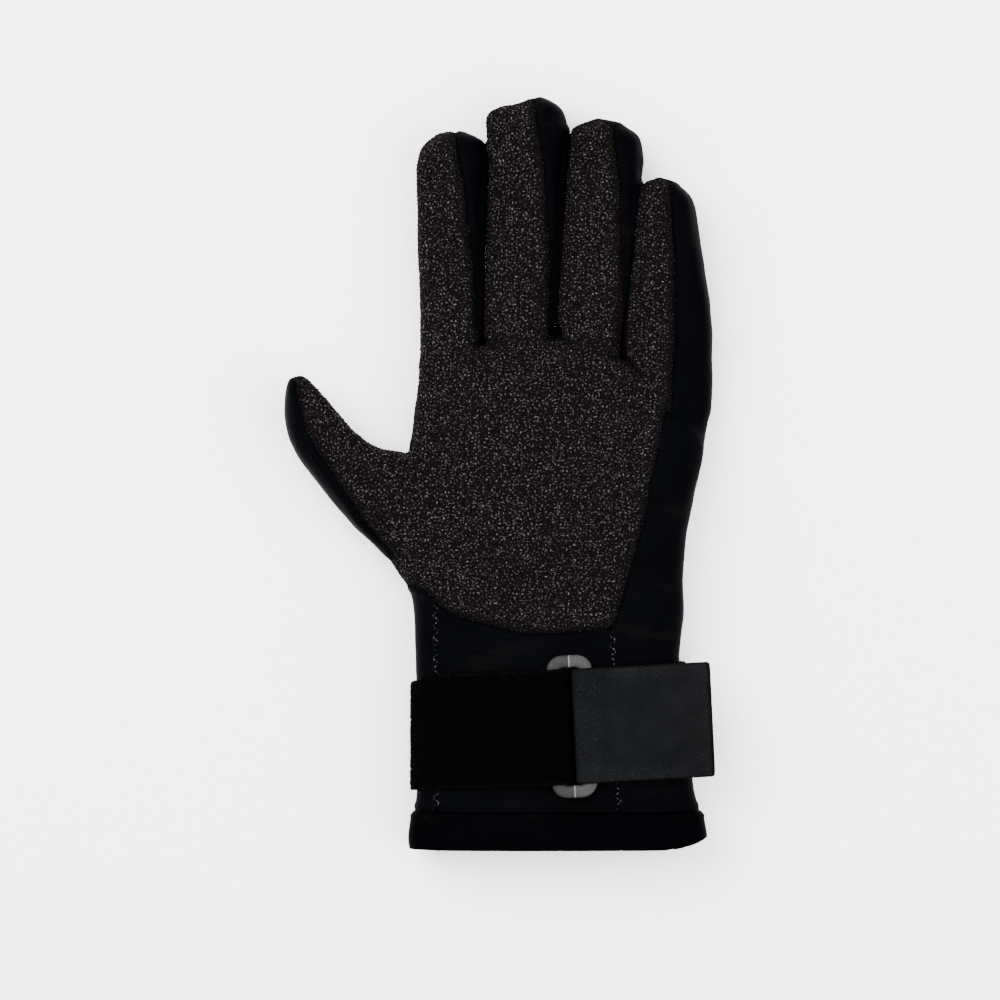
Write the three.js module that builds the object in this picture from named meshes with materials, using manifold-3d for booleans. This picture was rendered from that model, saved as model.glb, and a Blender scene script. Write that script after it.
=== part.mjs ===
// A left-hand diving glove of neoprene. It lies on its back: palm up (+Z), fingers along +Y, thumb
// towards -X. A knit-armoured palm is sewn to a smooth back that wraps round both edges, with a gusset
// between each pair of fingers. The gauntlet cuff ends in a hem band, and a strap runs round it, through
// a moulded ring and back over itself. Lengths are in mm and angles in degrees.
import * as THREE from "three";
import { mergeVertices } from "three/addons/utils/BufferGeometryUtils.js";
import Module from "manifold-3d";

const wasm = await Module();
wasm.setup();

// Fabric
const WALL = 3.5;
const SEAM_GAP = 0.3;

// Cuff and palm
const CUFF_LENGTH = 92;
const CUFF_WIDTH = 104;
const CUFF_DEPTH = 30;
const HEM_HEIGHT = 16;
const HAND_LENGTH = 109;
const PALM_DEPTH = 33;
const WEB_BOW = 23;

// Fingers: FINGER_LENGTH is the middle finger's, from web to tip
const FINGER_LENGTH = 94.5;
const FINGER_WIDTH = 26;
const FINGER_DEPTH = 21;
const FINGER_GAP = 0.6;
const FINGER_CURL = 6;
const ROOT_TWIST = 5;
const TIP_TWIST = 26;

// Thumb: its length is measured along its middle line from inside the palm
const THUMB_LENGTH = 90;
const THUMB_WIDTH = 24;
const THUMB_DEPTH = 21;
const THUMB_CURL = 5;
const THUMB_TWIST = -15;

// Wrist strap, its hook patch and its ring
const STRAP_WIDTH = 45;
const STRAP_THICKNESS = 1.8;
const STRAP_GAP = 0.35;
const STRAP_TILT = 2.7;
const STRAP_UP = 49.5;
const TAIL_REACH = 55;
const STUB_LENGTH = 20;
const HOOK_LENGTH = 19;
const HOOK_MARGIN = 3;
const HOOK_THICKNESS = 1;
const RING_SIDE = 6.7;
const RING_BAR = 5.6;
const RING_THICKNESS = 3.2;
const RING_SLACK = 0.5;
const RING_CORNER = 8;
const RING_BEVEL = 0.6;

// Cross-sections are rounded boxes: superellipses of this power, with this share of the depth pressed flat
// where the glove rests
const CUFF_POWER = 3.2;
const PALM_POWER = 2.8;
const LIMB_POWER = 2.7;
const REST_FLAT = 0.06;
const BODY_SIDES = 28;
const LIMB_SIDES = 14;

// The strap lies between the cuff and the table, and lifts the cuff
const REST_RISE = STRAP_THICKNESS + STRAP_GAP;

// Cuff sections: along CUFF_LENGTH, left and right in halves of CUFF_WIDTH, low in REST_RISE, high in
// CUFF_DEPTH
const CUFF_ROWS = [
  { along: 0, left: 1.09, right: 1.12, low: 0, high: 1.03 },
  { along: 0.04, left: 1.105, right: 1.155, low: 0, high: 1.05 },
  { along: 0.165, left: 1.075, right: 1.12, low: 0, high: 1.03 },
  { along: 0.185, left: 1.05, right: 1.08, low: 0.9, high: 1 },
  { along: 0.255, left: 1.044, right: 1.048, low: 1, high: 1 },
  { along: 0.83, left: 1.044, right: 0.946, low: 1, high: 1 },
];

// Hand sections: along HAND_LENGTH, left and right in halves of the knuckle width, low and high in
// PALM_DEPTH, bow in WEB_BOW
const HAND_ROWS = [
  { along: 0, left: 0.952, right: 0.876, low: 0.06, high: 0.99, bow: 0 },
  { along: 0.13, left: 0.99, right: 0.874, low: 0.03, high: 1, bow: 0 },
  { along: 0.3, left: 1.01, right: 0.9, low: 0, high: 1.03, bow: 0 },
  { along: 0.45, left: 1.01, right: 0.955, low: 0, high: 1.03, bow: 0 },
  { along: 0.58, left: 0.99, right: 1.01, low: 0, high: 1, bow: 0.1 },
  { along: 0.7, left: 0.965, right: 1.027, low: 0, high: 0.96, bow: 0.3 },
  { along: 0.82, left: 0.945, right: 1.034, low: 0, high: 0.9, bow: 0.6 },
  { along: 0.92, left: 0.93, right: 1.045, low: 0.02, high: 0.82, bow: 0.85 },
  { along: 1, left: 0.92, right: 1.05, low: 0.06, high: 0.74, bow: 1 },
];

// Finger sections: along from the web (0) to the tip (1), width and depth in the finger's own, and the
// knit's edge in halves of the section
const FINGER_ROWS = [
  { along: -0.32, width: 0.8, depth: 0.8, seam: 0.95 },
  { along: -0.14, width: 1, depth: 1.02, seam: 0.95 },
  { along: -0.04, width: 1.04, depth: 1.03, seam: 0.95 },
  { along: 0.03, width: 0.965, depth: 1.02, seam: 0.92 },
  { along: 0.35, width: 1, depth: 1, seam: 0.88 },
  { along: 0.7, width: 1.07, depth: 1, seam: 0.7 },
  { along: 0.87, width: 1.12, depth: 0.96, seam: 0.5 },
  { along: 0.95, width: 0.99, depth: 0.8, seam: 0.45 },
  { along: 0.985, width: 0.76, depth: 0.54, seam: 0.45 },
  { along: 1, width: 0.46, depth: 0.3, seam: 0.45 },
];

// The little finger carries the hand's outer edge, so its root is broad
const LITTLE_ROWS = [
  { along: -0.35, width: 1.1, depth: 0.72, seam: 0.12 },
  { along: -0.1, width: 1.54, depth: 1.02, seam: 0.12 },
  { along: 0.08, width: 1.61, depth: 1.12, seam: 0.14 },
  { along: 0.15, width: 1.58, depth: 1.1, seam: 0.2 },
  { along: 0.3, width: 1.57, depth: 1.08, seam: 0.25 },
  { along: 0.42, width: 1.5, depth: 1.05, seam: 0.28 },
  { along: 0.57, width: 1.29, depth: 1, seam: 0.38 },
  { along: 0.75, width: 1.1, depth: 0.98, seam: 0.4 },
  { along: 0.9, width: 0.97, depth: 0.9, seam: 0.4 },
  { along: 0.955, width: 0.84, depth: 0.76, seam: 0.4 },
  { along: 0.988, width: 0.62, depth: 0.54, seam: 0.4 },
  { along: 1, width: 0.38, depth: 0.3, seam: 0.4 },
];

// One row a finger: root in its own width, length, width and depth in the three named finger sizes, lift
// in FINGER_CURL, the height of the knit's left edge in halves of the depth, and the slant of the tip, up
// to the right
const FINGER_TABLE = [
  { name: "index", root: 1.02, length: 0.927, width: 0.96, depth: 1, lift: 0.5, side: -0.1, slant: 0.1 },
  { name: "middle", root: 0.99, length: 1, width: 1.09, depth: 1.04, lift: 0.65, side: 0.4, slant: 0.06 },
  { name: "ring", root: 0.99, length: 0.94, width: 1.06, depth: 1, lift: 0.8, side: 0.4, slant: -0.15 },
  { name: "little", root: 1.57, length: 0.864, width: 0.85, depth: 0.95, lift: 1.5, side: 0.4, slant: -0.3 },
];
const SLANT_FROM = 0.6;
const GUSSET_LOW = -0.45;
const GUSSET_END = 0.93;

// Thumb: middle line from its root in THUMB_LENGTH, and its sections
const THUMB_ROOT = { side: -0.728, along: 0.255 };
const THUMB_LINE = [
  { out: 0, up: 0, lift: 0 },
  { out: 0.29, up: 0.22, lift: 0 },
  { out: 0.43, up: 0.335, lift: 0.3 },
  { out: 0.56, up: 0.48, lift: 0.7 },
  { out: 0.62, up: 0.6, lift: 0.9 },
  { out: 0.66, up: 0.73, lift: 1 },
];
const THUMB_ROWS = [
  { along: 0, width: 1.54, depth: 1.2, seam: -1.5 },
  { along: 0.36, width: 1.36, depth: 1.25, seam: -1.5 },
  { along: 0.54, width: 1.06, depth: 1.1, seam: -1.2 },
  { along: 0.62, width: 1, depth: 1.04, seam: -0.85 },
  { along: 0.73, width: 0.94, depth: 1, seam: -0.65 },
  { along: 0.8, width: 0.86, depth: 0.94, seam: -0.6 },
  { along: 0.87, width: 0.72, depth: 0.82, seam: -0.55 },
  { along: 0.94, width: 0.5, depth: 0.6, seam: -0.5 },
  { along: 0.98, width: 0.33, depth: 0.42, seam: -0.5 },
  { along: 1, width: 0.2, depth: 0.25, seam: -0.5 },
];

// Lower edge of the knit palm, then its right-hand edge up to the little finger: side in halves of the
// knuckle width, along in HAND_LENGTH from the wrist
const PALM_EDGE = [
  { side: -1.02, along: 0.14 },
  { side: -0.867, along: 0.085 },
  { side: -0.735, along: 0.024 },
  { side: -0.52, along: -0.019 },
  { side: -0.153, along: -0.06 },
  { side: 0.2, along: -0.05 },
  { side: 0.4, along: -0.035 },
];
const EDGE_SEAM = [
  { side: 0.4, along: -0.035 },
  { side: 0.492, along: 0.125 },
  { side: 0.624, along: 0.388 },
  { side: 0.775, along: 0.8 },
];
const PALM_MIDDLE = 0.5;

// Seams of the cuff's palm panel at the hem and at the knit, in halves of CUFF_WIDTH
const CUFF_SEAMS = { left: -0.892, hemRight: 0.49, palmRight: 0.424 };

const mix = THREE.MathUtils.lerp;
const radians = THREE.MathUtils.degToRad;

// A table's columns at a place along it, straight between its rows
function between(rows, along) {
  const last = rows.length - 1;
  const found = rows.findIndex((row) => row.along >= along);
  const upper = found < 0 ? last : Math.max(found, 1);
  const [a, b] = [rows[upper - 1], rows[upper]];
  const share = THREE.MathUtils.clamp((along - a.along) / (b.along - a.along), 0, 1);
  return Object.fromEntries(Object.keys(a).map((key) => [key, mix(a[key], b[key], share)]));
}

// A point of a superellipse, and how far it is round
function roundedBox(angle, halfWidth, halfDepth, power) {
  const across = Math.cos(angle);
  const up = Math.sin(angle);
  return new THREE.Vector2(
    halfWidth * Math.sign(across) * Math.abs(across) ** (2 / power),
    halfDepth * Math.sign(up) * Math.abs(up) ** (2 / power),
  );
}

// Triangles that close a ring which is alike above and below, in strips from one side to the other
function stripCap(size) {
  return Array.from({ length: size / 2 - 1 }, (_, i) => [
    [i, i + 1, size - 2 - i],
    [i, size - 2 - i, size - 1 - i],
  ]).flat();
}

// Skins rings of as many points each into one closed surface. Rings of another form bring their own caps.
function loft(rings, capFaces) {
  const size = rings[0].length;
  const faces = [];
  for (let ring = 0; ring < rings.length - 1; ring++) {
    for (let i = 0; i < size; i++) {
      const next = (i + 1) % size;
      const [a, b] = [ring * size + i, ring * size + next];
      faces.push(a, a + size, b + size, a, b + size, b);
    }
  }
  const top = (rings.length - 1) * size;
  for (const [a, b, c] of capFaces ?? stripCap(size)) faces.push(a, b, c, top + a, top + c, top + b);
  const geometry = new THREE.BufferGeometry();
  geometry.setFromPoints(rings.flat());
  geometry.setIndex(faces);
  return geometry;
}

// A closed geometry as a solid that can be cut and joined
function solid(geometry) {
  const bare = new THREE.BufferGeometry();
  bare.setAttribute("position", geometry.getAttribute("position"));
  bare.setIndex(geometry.index);
  const merged = mergeVertices(bare);
  const vertProperties = new Float32Array(merged.getAttribute("position").array);
  const triVerts = new Uint32Array(merged.index.array);
  return new wasm.Manifold(new wasm.Mesh({ numProp: 3, vertProperties, triVerts }));
}

function join(solids) {
  return solids.reduce((all, one) => all.add(one));
}

// A cut that runs along a seam can leave a sliver beside the panel
function withoutSlivers(made) {
  return made.decompose().reduce((largest, body) => (body.volume() > largest.volume() ? body : largest));
}

// Hand: driving places that follow from the finger sizes
const fingers = FINGER_TABLE.map((row) => ({
  ...row,
  length: row.length * FINGER_LENGTH,
  width: row.width * FINGER_WIDTH,
  depth: row.depth * FINGER_DEPTH,
  lift: row.lift * FINGER_CURL,
  rootWidth: row.root * row.width * FINGER_WIDTH,
  rows: row.name === "little" ? LITTLE_ROWS : FINGER_ROWS,
}));
const HALF_KNUCKLES = fingers.reduce((sum, finger) => sum + finger.rootWidth, 0) / 2;
const WEB_TOP = -0.15;

// How far the webs fall behind their highest place
function webFall(x) {
  return WEB_BOW * (x / HALF_KNUCKLES - WEB_TOP) ** 2;
}

// Cuff and palm: sections across Y, given by their edges
const bodyRows = [
  ...CUFF_ROWS.map((row) => ({
    along: row.along * CUFF_LENGTH,
    left: (-row.left * CUFF_WIDTH) / 2,
    right: (row.right * CUFF_WIDTH) / 2,
    low: row.low * REST_RISE,
    high: REST_RISE + row.high * CUFF_DEPTH,
    bow: 0,
    power: CUFF_POWER,
  })),
  ...HAND_ROWS.map((row) => ({
    along: CUFF_LENGTH + row.along * HAND_LENGTH,
    left: -row.left * HALF_KNUCKLES,
    right: row.right * HALF_KNUCKLES,
    low: row.low * PALM_DEPTH,
    high: row.high * PALM_DEPTH,
    bow: row.bow,
    power: mix(CUFF_POWER, PALM_POWER, Math.min(1, row.along * 2)),
  })),
];

// One section of the body, pressed flat below, inset by a wall
function bodySection(row, inset) {
  const halfWidth = (row.right - row.left) / 2 - inset;
  const halfDepth = (row.high - row.low) / 2 - inset;
  const middle = new THREE.Vector2((row.right + row.left) / 2, (row.high + row.low) / 2);
  return Array.from({ length: BODY_SIDES }, (_, i) => {
    const angle = (2 * Math.PI * (i + 0.5)) / BODY_SIDES;
    const point = roundedBox(angle, halfWidth, halfDepth, row.power);
    if (point.y < 0) point.y = Math.max(point.y * (1 + REST_FLAT), -halfDepth);
    return point.add(middle);
  });
}

function bodyLoft(inset, endInset) {
  const rings = bodyRows.map((row, i) => {
    const end = i === 0 ? endInset : 0;
    const top = i === bodyRows.length - 1 ? inset : 0;
    return bodySection(row, inset).map(
      (p) => new THREE.Vector3(p.x, row.along - end - top - row.bow * webFall(p.x), p.y),
    );
  });
  return solid(loft(rings));
}

// A limb is a finger or the thumb: a middle line, a twist, a table of sections and a tip that may slant
const TANGENT_STEP = 0.01;

function limbFrame(limb, along) {
  const centre = limb.centre(along);
  const ahead = limb.centre(along + TANGENT_STEP).sub(limb.centre(along - TANGENT_STEP));
  const across = new THREE.Vector3(ahead.y, -ahead.x, 0).normalize();
  const up = new THREE.Vector3(0, 0, 1);
  const turn = radians(limb.twist(along));
  const slant = limb.slant * Math.max(0, (along - SLANT_FROM) / (1 - SLANT_FROM));
  return {
    centre,
    across: across.clone().multiplyScalar(Math.cos(turn)).addScaledVector(up, Math.sin(turn)),
    up: up.clone().multiplyScalar(Math.cos(turn)).addScaledVector(across, -Math.sin(turn)),
    lean: ahead.normalize().multiplyScalar(slant),
  };
}

function placed(frame, u, v) {
  const slope = frame.across.clone().add(frame.lean);
  return frame.centre.clone().addScaledVector(slope, u).addScaledVector(frame.up, v);
}

// A limb's surface, inset by a wall: the wall thins where the tip closes, and the tip itself moves back
// by it
function limbLoft(limb, inset) {
  const rings = limb.rows.map((row) => {
    const frame = limbFrame(limb, row.along > 0 ? row.along * (1 - inset / limb.length) : row.along);
    const halfWidth = (row.width * limb.width) / 2 - inset * Math.min(1, row.width);
    const halfDepth = (row.depth * limb.depth) / 2 - inset * Math.min(1, row.depth);
    return Array.from({ length: LIMB_SIDES }, (_, i) => {
      const angle = (2 * Math.PI * (i + 0.5)) / LIMB_SIDES;
      const point = roundedBox(angle, halfWidth, halfDepth, LIMB_POWER);
      return placed(frame, point.x, point.y);
    });
  });
  return solid(loft(rings));
}

// The part of a limb's wall inside a window of its sections. The window's sides are shares of the section's
// halves, and a grown window reaches further by the seam gap.
const PAST_EDGE = 1.6;
const SKIN_MARGIN = 0.2;
const TIP_MARGIN = 1.04;

function limbWindow(limb, window, grow) {
  const inside = limb.rows.filter((row) => row.along <= window.end);
  const last = between(limb.rows, window.end);
  const rings = [...inside, { ...last, along: window.end }].map((row, i) => {
    const frame = limbFrame(limb, row.along + (i === inside.length ? grow / limb.length : 0));
    const halfWidth = (row.width * limb.width) / 2;
    const halfDepth = (row.depth * limb.depth) / 2;
    const [left, right, low, high] = window.sides(row);
    const [u0, u1] = [left * halfWidth - grow, right * halfWidth + grow];
    const [v0, v1] = [low * halfDepth - grow, high * halfDepth + grow];
    return [placed(frame, u0, v0), placed(frame, u1, v0), placed(frame, u1, v1), placed(frame, u0, v1)];
  });
  return solid(loft(rings)).intersect(limbLoft(limb, -SKIN_MARGIN));
}

// How far apart across two leaning sections lie that touch but for a gap: they touch where one section
// with the sum of their halves reaches, along the line between their middles
function pitch(first, second, rise, gap) {
  const halfWidth = (first.width + second.width) / 2;
  const halfDepth = (first.depth + second.depth) / 2;
  let across = halfWidth;
  for (let pass = 0; pass < PITCH_PASSES; pass++) {
    const angle = Math.atan2(rise, across) - radians(TIP_TWIST);
    const reach =
      (Math.abs(Math.cos(angle) / halfWidth) ** LIMB_POWER +
        Math.abs(Math.sin(angle) / halfDepth) ** LIMB_POWER) **
      (-1 / LIMB_POWER);
    across = Math.sqrt((reach + gap) ** 2 - rise ** 2);
  }
  return across;
}

function widthsAt(finger, y) {
  const row = between(finger.rows, (y - finger.web) / finger.length);
  return { width: row.width * finger.width, depth: row.depth * finger.depth };
}

// Finger roots stand side by side, and towards the tips each finger stands a gap from the one before
const PITCH_PASSES = 4;
const MEETING = 0.87;
const LIFT_POWER = 1.5;

function placeFingers() {
  const rootHeight = ((between(HAND_ROWS, 1).low + between(HAND_ROWS, 1).high) / 2) * PALM_DEPTH;
  fingers.forEach((finger, i) => {
    const before = fingers[i - 1];
    finger.rootX = before
      ? before.rootX + (before.rootWidth + finger.rootWidth) / 2
      : -between(HAND_ROWS, 1).left * HALF_KNUCKLES + finger.rootWidth / 2;
    finger.web = CUFF_LENGTH + HAND_LENGTH - webFall(finger.rootX);
    finger.tipX = finger.rootX;
    if (before) {
      const meet = Math.min(before.web + before.length * MEETING, finger.web + finger.length * MEETING);
      const beside = mix(before.rootX, before.tipX, (meet - before.web) / before.length);
      const rise = finger.lift - before.lift;
      const needed = beside + pitch(widthsAt(before, meet), widthsAt(finger, meet), rise, FINGER_GAP);
      finger.tipX = finger.rootX + ((needed - finger.rootX) * finger.length) / (meet - finger.web);
    }
    finger.centre = (along) =>
      new THREE.Vector3(
        mix(finger.rootX, finger.tipX, along),
        finger.web + finger.length * along,
        rootHeight + finger.lift * Math.max(0, along) ** LIFT_POWER,
      );
    finger.twist = (along) => mix(ROOT_TWIST, TIP_TWIST, THREE.MathUtils.clamp(along, 0, 1));
  });
}
placeFingers();

function makeThumb() {
  const root = new THREE.Vector3(
    THUMB_ROOT.side * HALF_KNUCKLES,
    CUFF_LENGTH + THUMB_ROOT.along * HAND_LENGTH,
    PALM_MIDDLE * PALM_DEPTH,
  );
  const line = new THREE.CatmullRomCurve3(
    THUMB_LINE.map(
      (p) =>
        new THREE.Vector3(
          root.x - p.out * THUMB_LENGTH,
          root.y + p.up * THUMB_LENGTH,
          root.z + p.lift * THUMB_CURL,
        ),
    ),
  );
  return {
    rows: THUMB_ROWS,
    length: THUMB_LENGTH,
    width: THUMB_WIDTH,
    depth: THUMB_DEPTH,
    slant: 0,
    centre: (along) => {
      const end = THREE.MathUtils.clamp(along, 0, 1);
      const past = (along - end) * THUMB_LENGTH;
      return line.getPointAt(end).addScaledVector(line.getTangentAt(end), past);
    },
    twist: (along) => THUMB_TWIST * THREE.MathUtils.clamp(along, 0, 1),
  };
}
const thumb = makeThumb();
const limbs = [...fingers, thumb];

const MOUTH_MARGIN = 10;
const shell = join([bodyLoft(0, 0), ...limbs.map((limb) => limbLoft(limb, 0))]).subtract(
  join([bodyLoft(WALL, MOUTH_MARGIN), ...limbs.map((limb) => limbLoft(limb, WALL))]),
);

// Regions of the shell. Each takes how far it grows, so that its neighbours leave it a seam's gap.
function prism(outline, low, high) {
  const geometry = new THREE.ExtrudeGeometry(new THREE.Shape(outline), {
    depth: high - low,
    bevelEnabled: false,
  });
  return solid(geometry.translate(0, 0, low));
}

const ABOVE_ALL = 2 * PALM_DEPTH;
const WEB_DEPTH = 3 * WALL;
const WEB_MARGIN = 1;
const SEAM_STEPS = 8;

function seamLine(rows) {
  const points = rows.map(
    (row) => new THREE.Vector2(row.side * HALF_KNUCKLES, CUFF_LENGTH + row.along * HAND_LENGTH),
  );
  return new THREE.SplineCurve(points).getPoints(SEAM_STEPS);
}

function palmRegion(grow) {
  const lower = seamLine(PALM_EDGE).map((p) => new THREE.Vector2(p.x, p.y - grow));
  const side = seamLine(EDGE_SEAM)
    .slice(1)
    .map((p) => new THREE.Vector2(p.x + grow, p.y));
  const corner = side[side.length - 1].x;
  const webs = Array.from({ length: SEAM_STEPS }, (_, i) => {
    const x = mix(corner, -HALF_KNUCKLES, (i + 1) / SEAM_STEPS);
    return new THREE.Vector2(x, CUFF_LENGTH + HAND_LENGTH + WEB_MARGIN + grow - webFall(x));
  });
  const hand = prism([...lower, ...side, ...webs], PALM_MIDDLE * PALM_DEPTH - grow, ABOVE_ALL);
  const fingerSides = fingers.map((finger) =>
    limbWindow(
      finger,
      { end: TIP_MARGIN, sides: (row) => [-PAST_EDGE, row.seam, finger.side, PAST_EDGE] },
      grow,
    ),
  );
  const thumbSide = limbWindow(
    thumb,
    { end: TIP_MARGIN, sides: (row) => [row.seam, PAST_EDGE, 0, PAST_EDGE] },
    grow,
  );
  return join([hand, ...fingerSides, thumbSide]);
}

// A gusset: the right wall of one finger, the left wall of the next and the web between them
function gussetRegion(left, right, grow) {
  const height = left.centre(0).z;
  const half = left.depth / 2;
  const start = Math.min(left.web, right.web) - WEB_DEPTH;
  const end = Math.max(left.web, right.web) + WALL;
  const web = prism(
    [
      new THREE.Vector2(left.rootX, start),
      new THREE.Vector2(right.rootX, start),
      new THREE.Vector2(right.rootX, end),
      new THREE.Vector2(left.rootX, end),
    ],
    height + GUSSET_LOW * half - grow,
    height + right.side * half,
  );
  return join([
    limbWindow(left, { end: GUSSET_END, sides: () => [0, PAST_EDGE, GUSSET_LOW, PAST_EDGE] }, grow),
    limbWindow(right, { end: GUSSET_END, sides: () => [-PAST_EDGE, 0, GUSSET_LOW, PAST_EDGE] }, grow),
    web,
  ]);
}

function hemRegion(grow) {
  const wide = CUFF_WIDTH;
  const top = HEM_HEIGHT + grow;
  const outline = [
    new THREE.Vector2(-wide, -MOUTH_MARGIN),
    new THREE.Vector2(wide, -MOUTH_MARGIN),
    new THREE.Vector2(wide, top),
    new THREE.Vector2(-wide, top),
  ];
  return prism(outline, -MOUTH_MARGIN, ABOVE_ALL);
}

const UNDER_KNIT = 10;

function cuffPalmRegion(grow) {
  const half = CUFF_WIDTH / 2;
  const top = CUFF_LENGTH + UNDER_KNIT;
  const outline = [
    new THREE.Vector2(CUFF_SEAMS.left * half - grow, 0),
    new THREE.Vector2(CUFF_SEAMS.hemRight * half + grow, 0),
    new THREE.Vector2(CUFF_SEAMS.palmRight * half + grow, top),
    new THREE.Vector2(CUFF_SEAMS.left * half - grow, top),
  ];
  return prism(outline, REST_RISE + CUFF_DEPTH / 2, ABOVE_ALL);
}

// Wrist strap: a ribbon whose path is worked out round the cuff's section, once at each edge of the strap
const RING_WINDOW = STRAP_WIDTH + 2 * RING_SLACK;
const FOLD_RADIUS = (RING_THICKNESS + STRAP_THICKNESS) / 2 + STRAP_GAP;
const RING_SLOT = 2 * FOLD_RADIUS + STRAP_THICKNESS + 2 * STRAP_GAP;
const FOLD_STEPS = 5;
const UNDER = STRAP_GAP + STRAP_THICKNESS / 2;
const ON_STUB = UNDER + STRAP_THICKNESS + STRAP_GAP;
const ON_HOOK = ON_STUB + HOOK_THICKNESS + STRAP_GAP;
const EASE = 5;
const HOOK_STEPS = 4;

// The cuff's outline seen from the ring: x from the ring's middle, at a place across the strap
function cuffSkin(across) {
  const tilt = radians(STRAP_TILT);
  const row = (x) => between(bodyRows, STRAP_UP + across * Math.cos(tilt) + x * Math.sin(tilt));
  const shift = across * Math.sin(tilt) - RING_SIDE;
  const left = row(-CUFF_WIDTH / 2).left + shift;
  const right = row(CUFF_WIDTH / 2).right + shift;
  const { low, high, power } = row(0);
  const half = new THREE.Vector2((right - left) / 2, (high - low) / 2);
  const middle = new THREE.Vector2((right + left) / 2, (high + low) / 2);
  const at = (angle, height) => {
    const point = roundedBox(angle, half.x, half.y, power);
    const normal = new THREE.Vector2(
      (Math.sign(point.x) * Math.abs(point.x / half.x) ** (power - 1)) / half.x,
      (Math.sign(point.y) * Math.abs(point.y / half.y) ** (power - 1)) / half.y,
    ).normalize();
    if (point.y < 0) point.y = Math.max(point.y * (1 + REST_FLAT), -half.y);
    point.x += normal.x * height;
    point.y = Math.max(point.y + normal.y * height, -half.y - height);
    return point.add(middle);
  };
  const angleAt = (x) =>
    Math.acos(Math.sign(x - middle.x) * Math.abs((x - middle.x) / half.x) ** (power / 2));
  return { at, angleAt, front: (x, height) => at(angleAt(x), height) };
}

// Where the hook patch lies, from the ring's middle
function hookPlaces() {
  const start = RING_SLOT / 2 + RING_BAR + EASE;
  return Array.from({ length: HOOK_STEPS + 1 }, (_, i) => start + (i * HOOK_LENGTH) / HOOK_STEPS);
}

// The angles round the cuff between the strap's sewn stub and the ring, at the corners of the cuff's
// section
function wrapAngles() {
  const skin = cuffSkin(0);
  const from = skin.angleAt(-RING_SLOT / 2 - STUB_LENGTH - EASE);
  const to = skin.angleAt(RING_SLOT / 2) + 2 * Math.PI;
  const corners = Array.from({ length: 2 * BODY_SIDES }, (_, i) => (2 * Math.PI * (i + 0.5)) / BODY_SIDES);
  return corners.filter((angle) => angle > from && angle < to);
}

function fold(centre, side) {
  return Array.from({ length: FOLD_STEPS + 1 }, (_, i) => {
    const angle = Math.PI * (i / FOLD_STEPS - 0.5);
    return new THREE.Vector2(
      centre.x + side * FOLD_RADIUS * Math.cos(angle),
      centre.y + FOLD_RADIUS * Math.sin(angle),
    );
  });
}

function strapPath(across) {
  const skin = cuffSkin(across);
  const inner = RING_SLOT / 2;
  const outer = inner + RING_BAR;
  const ringHeight = skin.front(0, UNDER + FOLD_RADIUS).y;
  const stubEnd = -inner - STUB_LENGTH;
  const held = hookPlaces().map((x) => skin.front(x, ON_HOOK));
  const [last, leave] = held.slice(-2);
  const slope = (leave.y - last.y) / (leave.x - last.x);
  return [
    skin.front(stubEnd, UNDER),
    skin.front(-outer, UNDER),
    ...fold(new THREE.Vector2(-inner, ringHeight), 1),
    new THREE.Vector2(-outer, ringHeight + FOLD_RADIUS),
    skin.front(-outer - EASE, ON_STUB),
    skin.front(stubEnd, ON_STUB),
    ...wrapAngles().map((angle) => skin.at(angle, UNDER)),
    ...fold(new THREE.Vector2(inner, ringHeight), -1),
    new THREE.Vector2(outer, ringHeight + FOLD_RADIUS),
    ...held,
    new THREE.Vector2(TAIL_REACH, leave.y + slope * (TAIL_REACH - leave.x)),
  ];
}

// A flat strip seen on edge: its path thickened to both sides
const MITRE_LIMIT = 0.7;

function ribbon(path, thickness) {
  const side = (sign) =>
    path.map((point, i) => {
      const before = path[Math.max(0, i - 1)];
      const after = path[Math.min(path.length - 1, i + 1)];
      const into = point.clone().sub(before).normalize();
      const out = after.clone().sub(point).normalize();
      const along = into.clone().add(out).normalize();
      const mitre = (sign * thickness) / 2 / Math.max(along.dot(i ? into : out), MITRE_LIMIT);
      return new THREE.Vector2(point.x - along.y * mitre, point.y + along.x * mitre);
    });
  return [...side(1), ...side(-1).reverse()];
}

// A strip of a width across the strap, turned with it about the ring
function band(pathAt, thickness, width) {
  const tilt = radians(STRAP_TILT);
  const edges = [-width / 2, width / 2].map((across) => ({
    across,
    outline: ribbon(pathAt(across), thickness),
  }));
  if (THREE.ShapeUtils.isClockWise(edges[0].outline)) edges.forEach((edge) => edge.outline.reverse());
  const rings = edges.map((edge) =>
    edge.outline.map(
      (p) =>
        new THREE.Vector3(
          RING_SIDE + p.x * Math.cos(tilt) - edge.across * Math.sin(tilt),
          STRAP_UP + p.x * Math.sin(tilt) + edge.across * Math.cos(tilt),
          p.y,
        ),
    ),
  );
  return solid(loft(rings, THREE.ShapeUtils.triangulateShape(edges[0].outline, [])));
}

function hookPath(across) {
  const skin = cuffSkin(across);
  const height = ON_STUB + (HOOK_THICKNESS - STRAP_THICKNESS) / 2;
  return hookPlaces().map((x) => skin.front(x, height));
}

function roundedRectangle(path, halfWidth, halfLength, radius) {
  path.moveTo(halfWidth, halfLength - radius);
  path.absarc(halfWidth - radius, halfLength - radius, radius, 0, Math.PI / 2);
  path.absarc(radius - halfWidth, halfLength - radius, radius, Math.PI / 2, Math.PI);
  path.absarc(radius - halfWidth, radius - halfLength, radius, Math.PI, 1.5 * Math.PI);
  path.absarc(halfWidth - radius, radius - halfLength, radius, 1.5 * Math.PI, 2 * Math.PI);
  path.closePath();
  return path;
}

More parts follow.
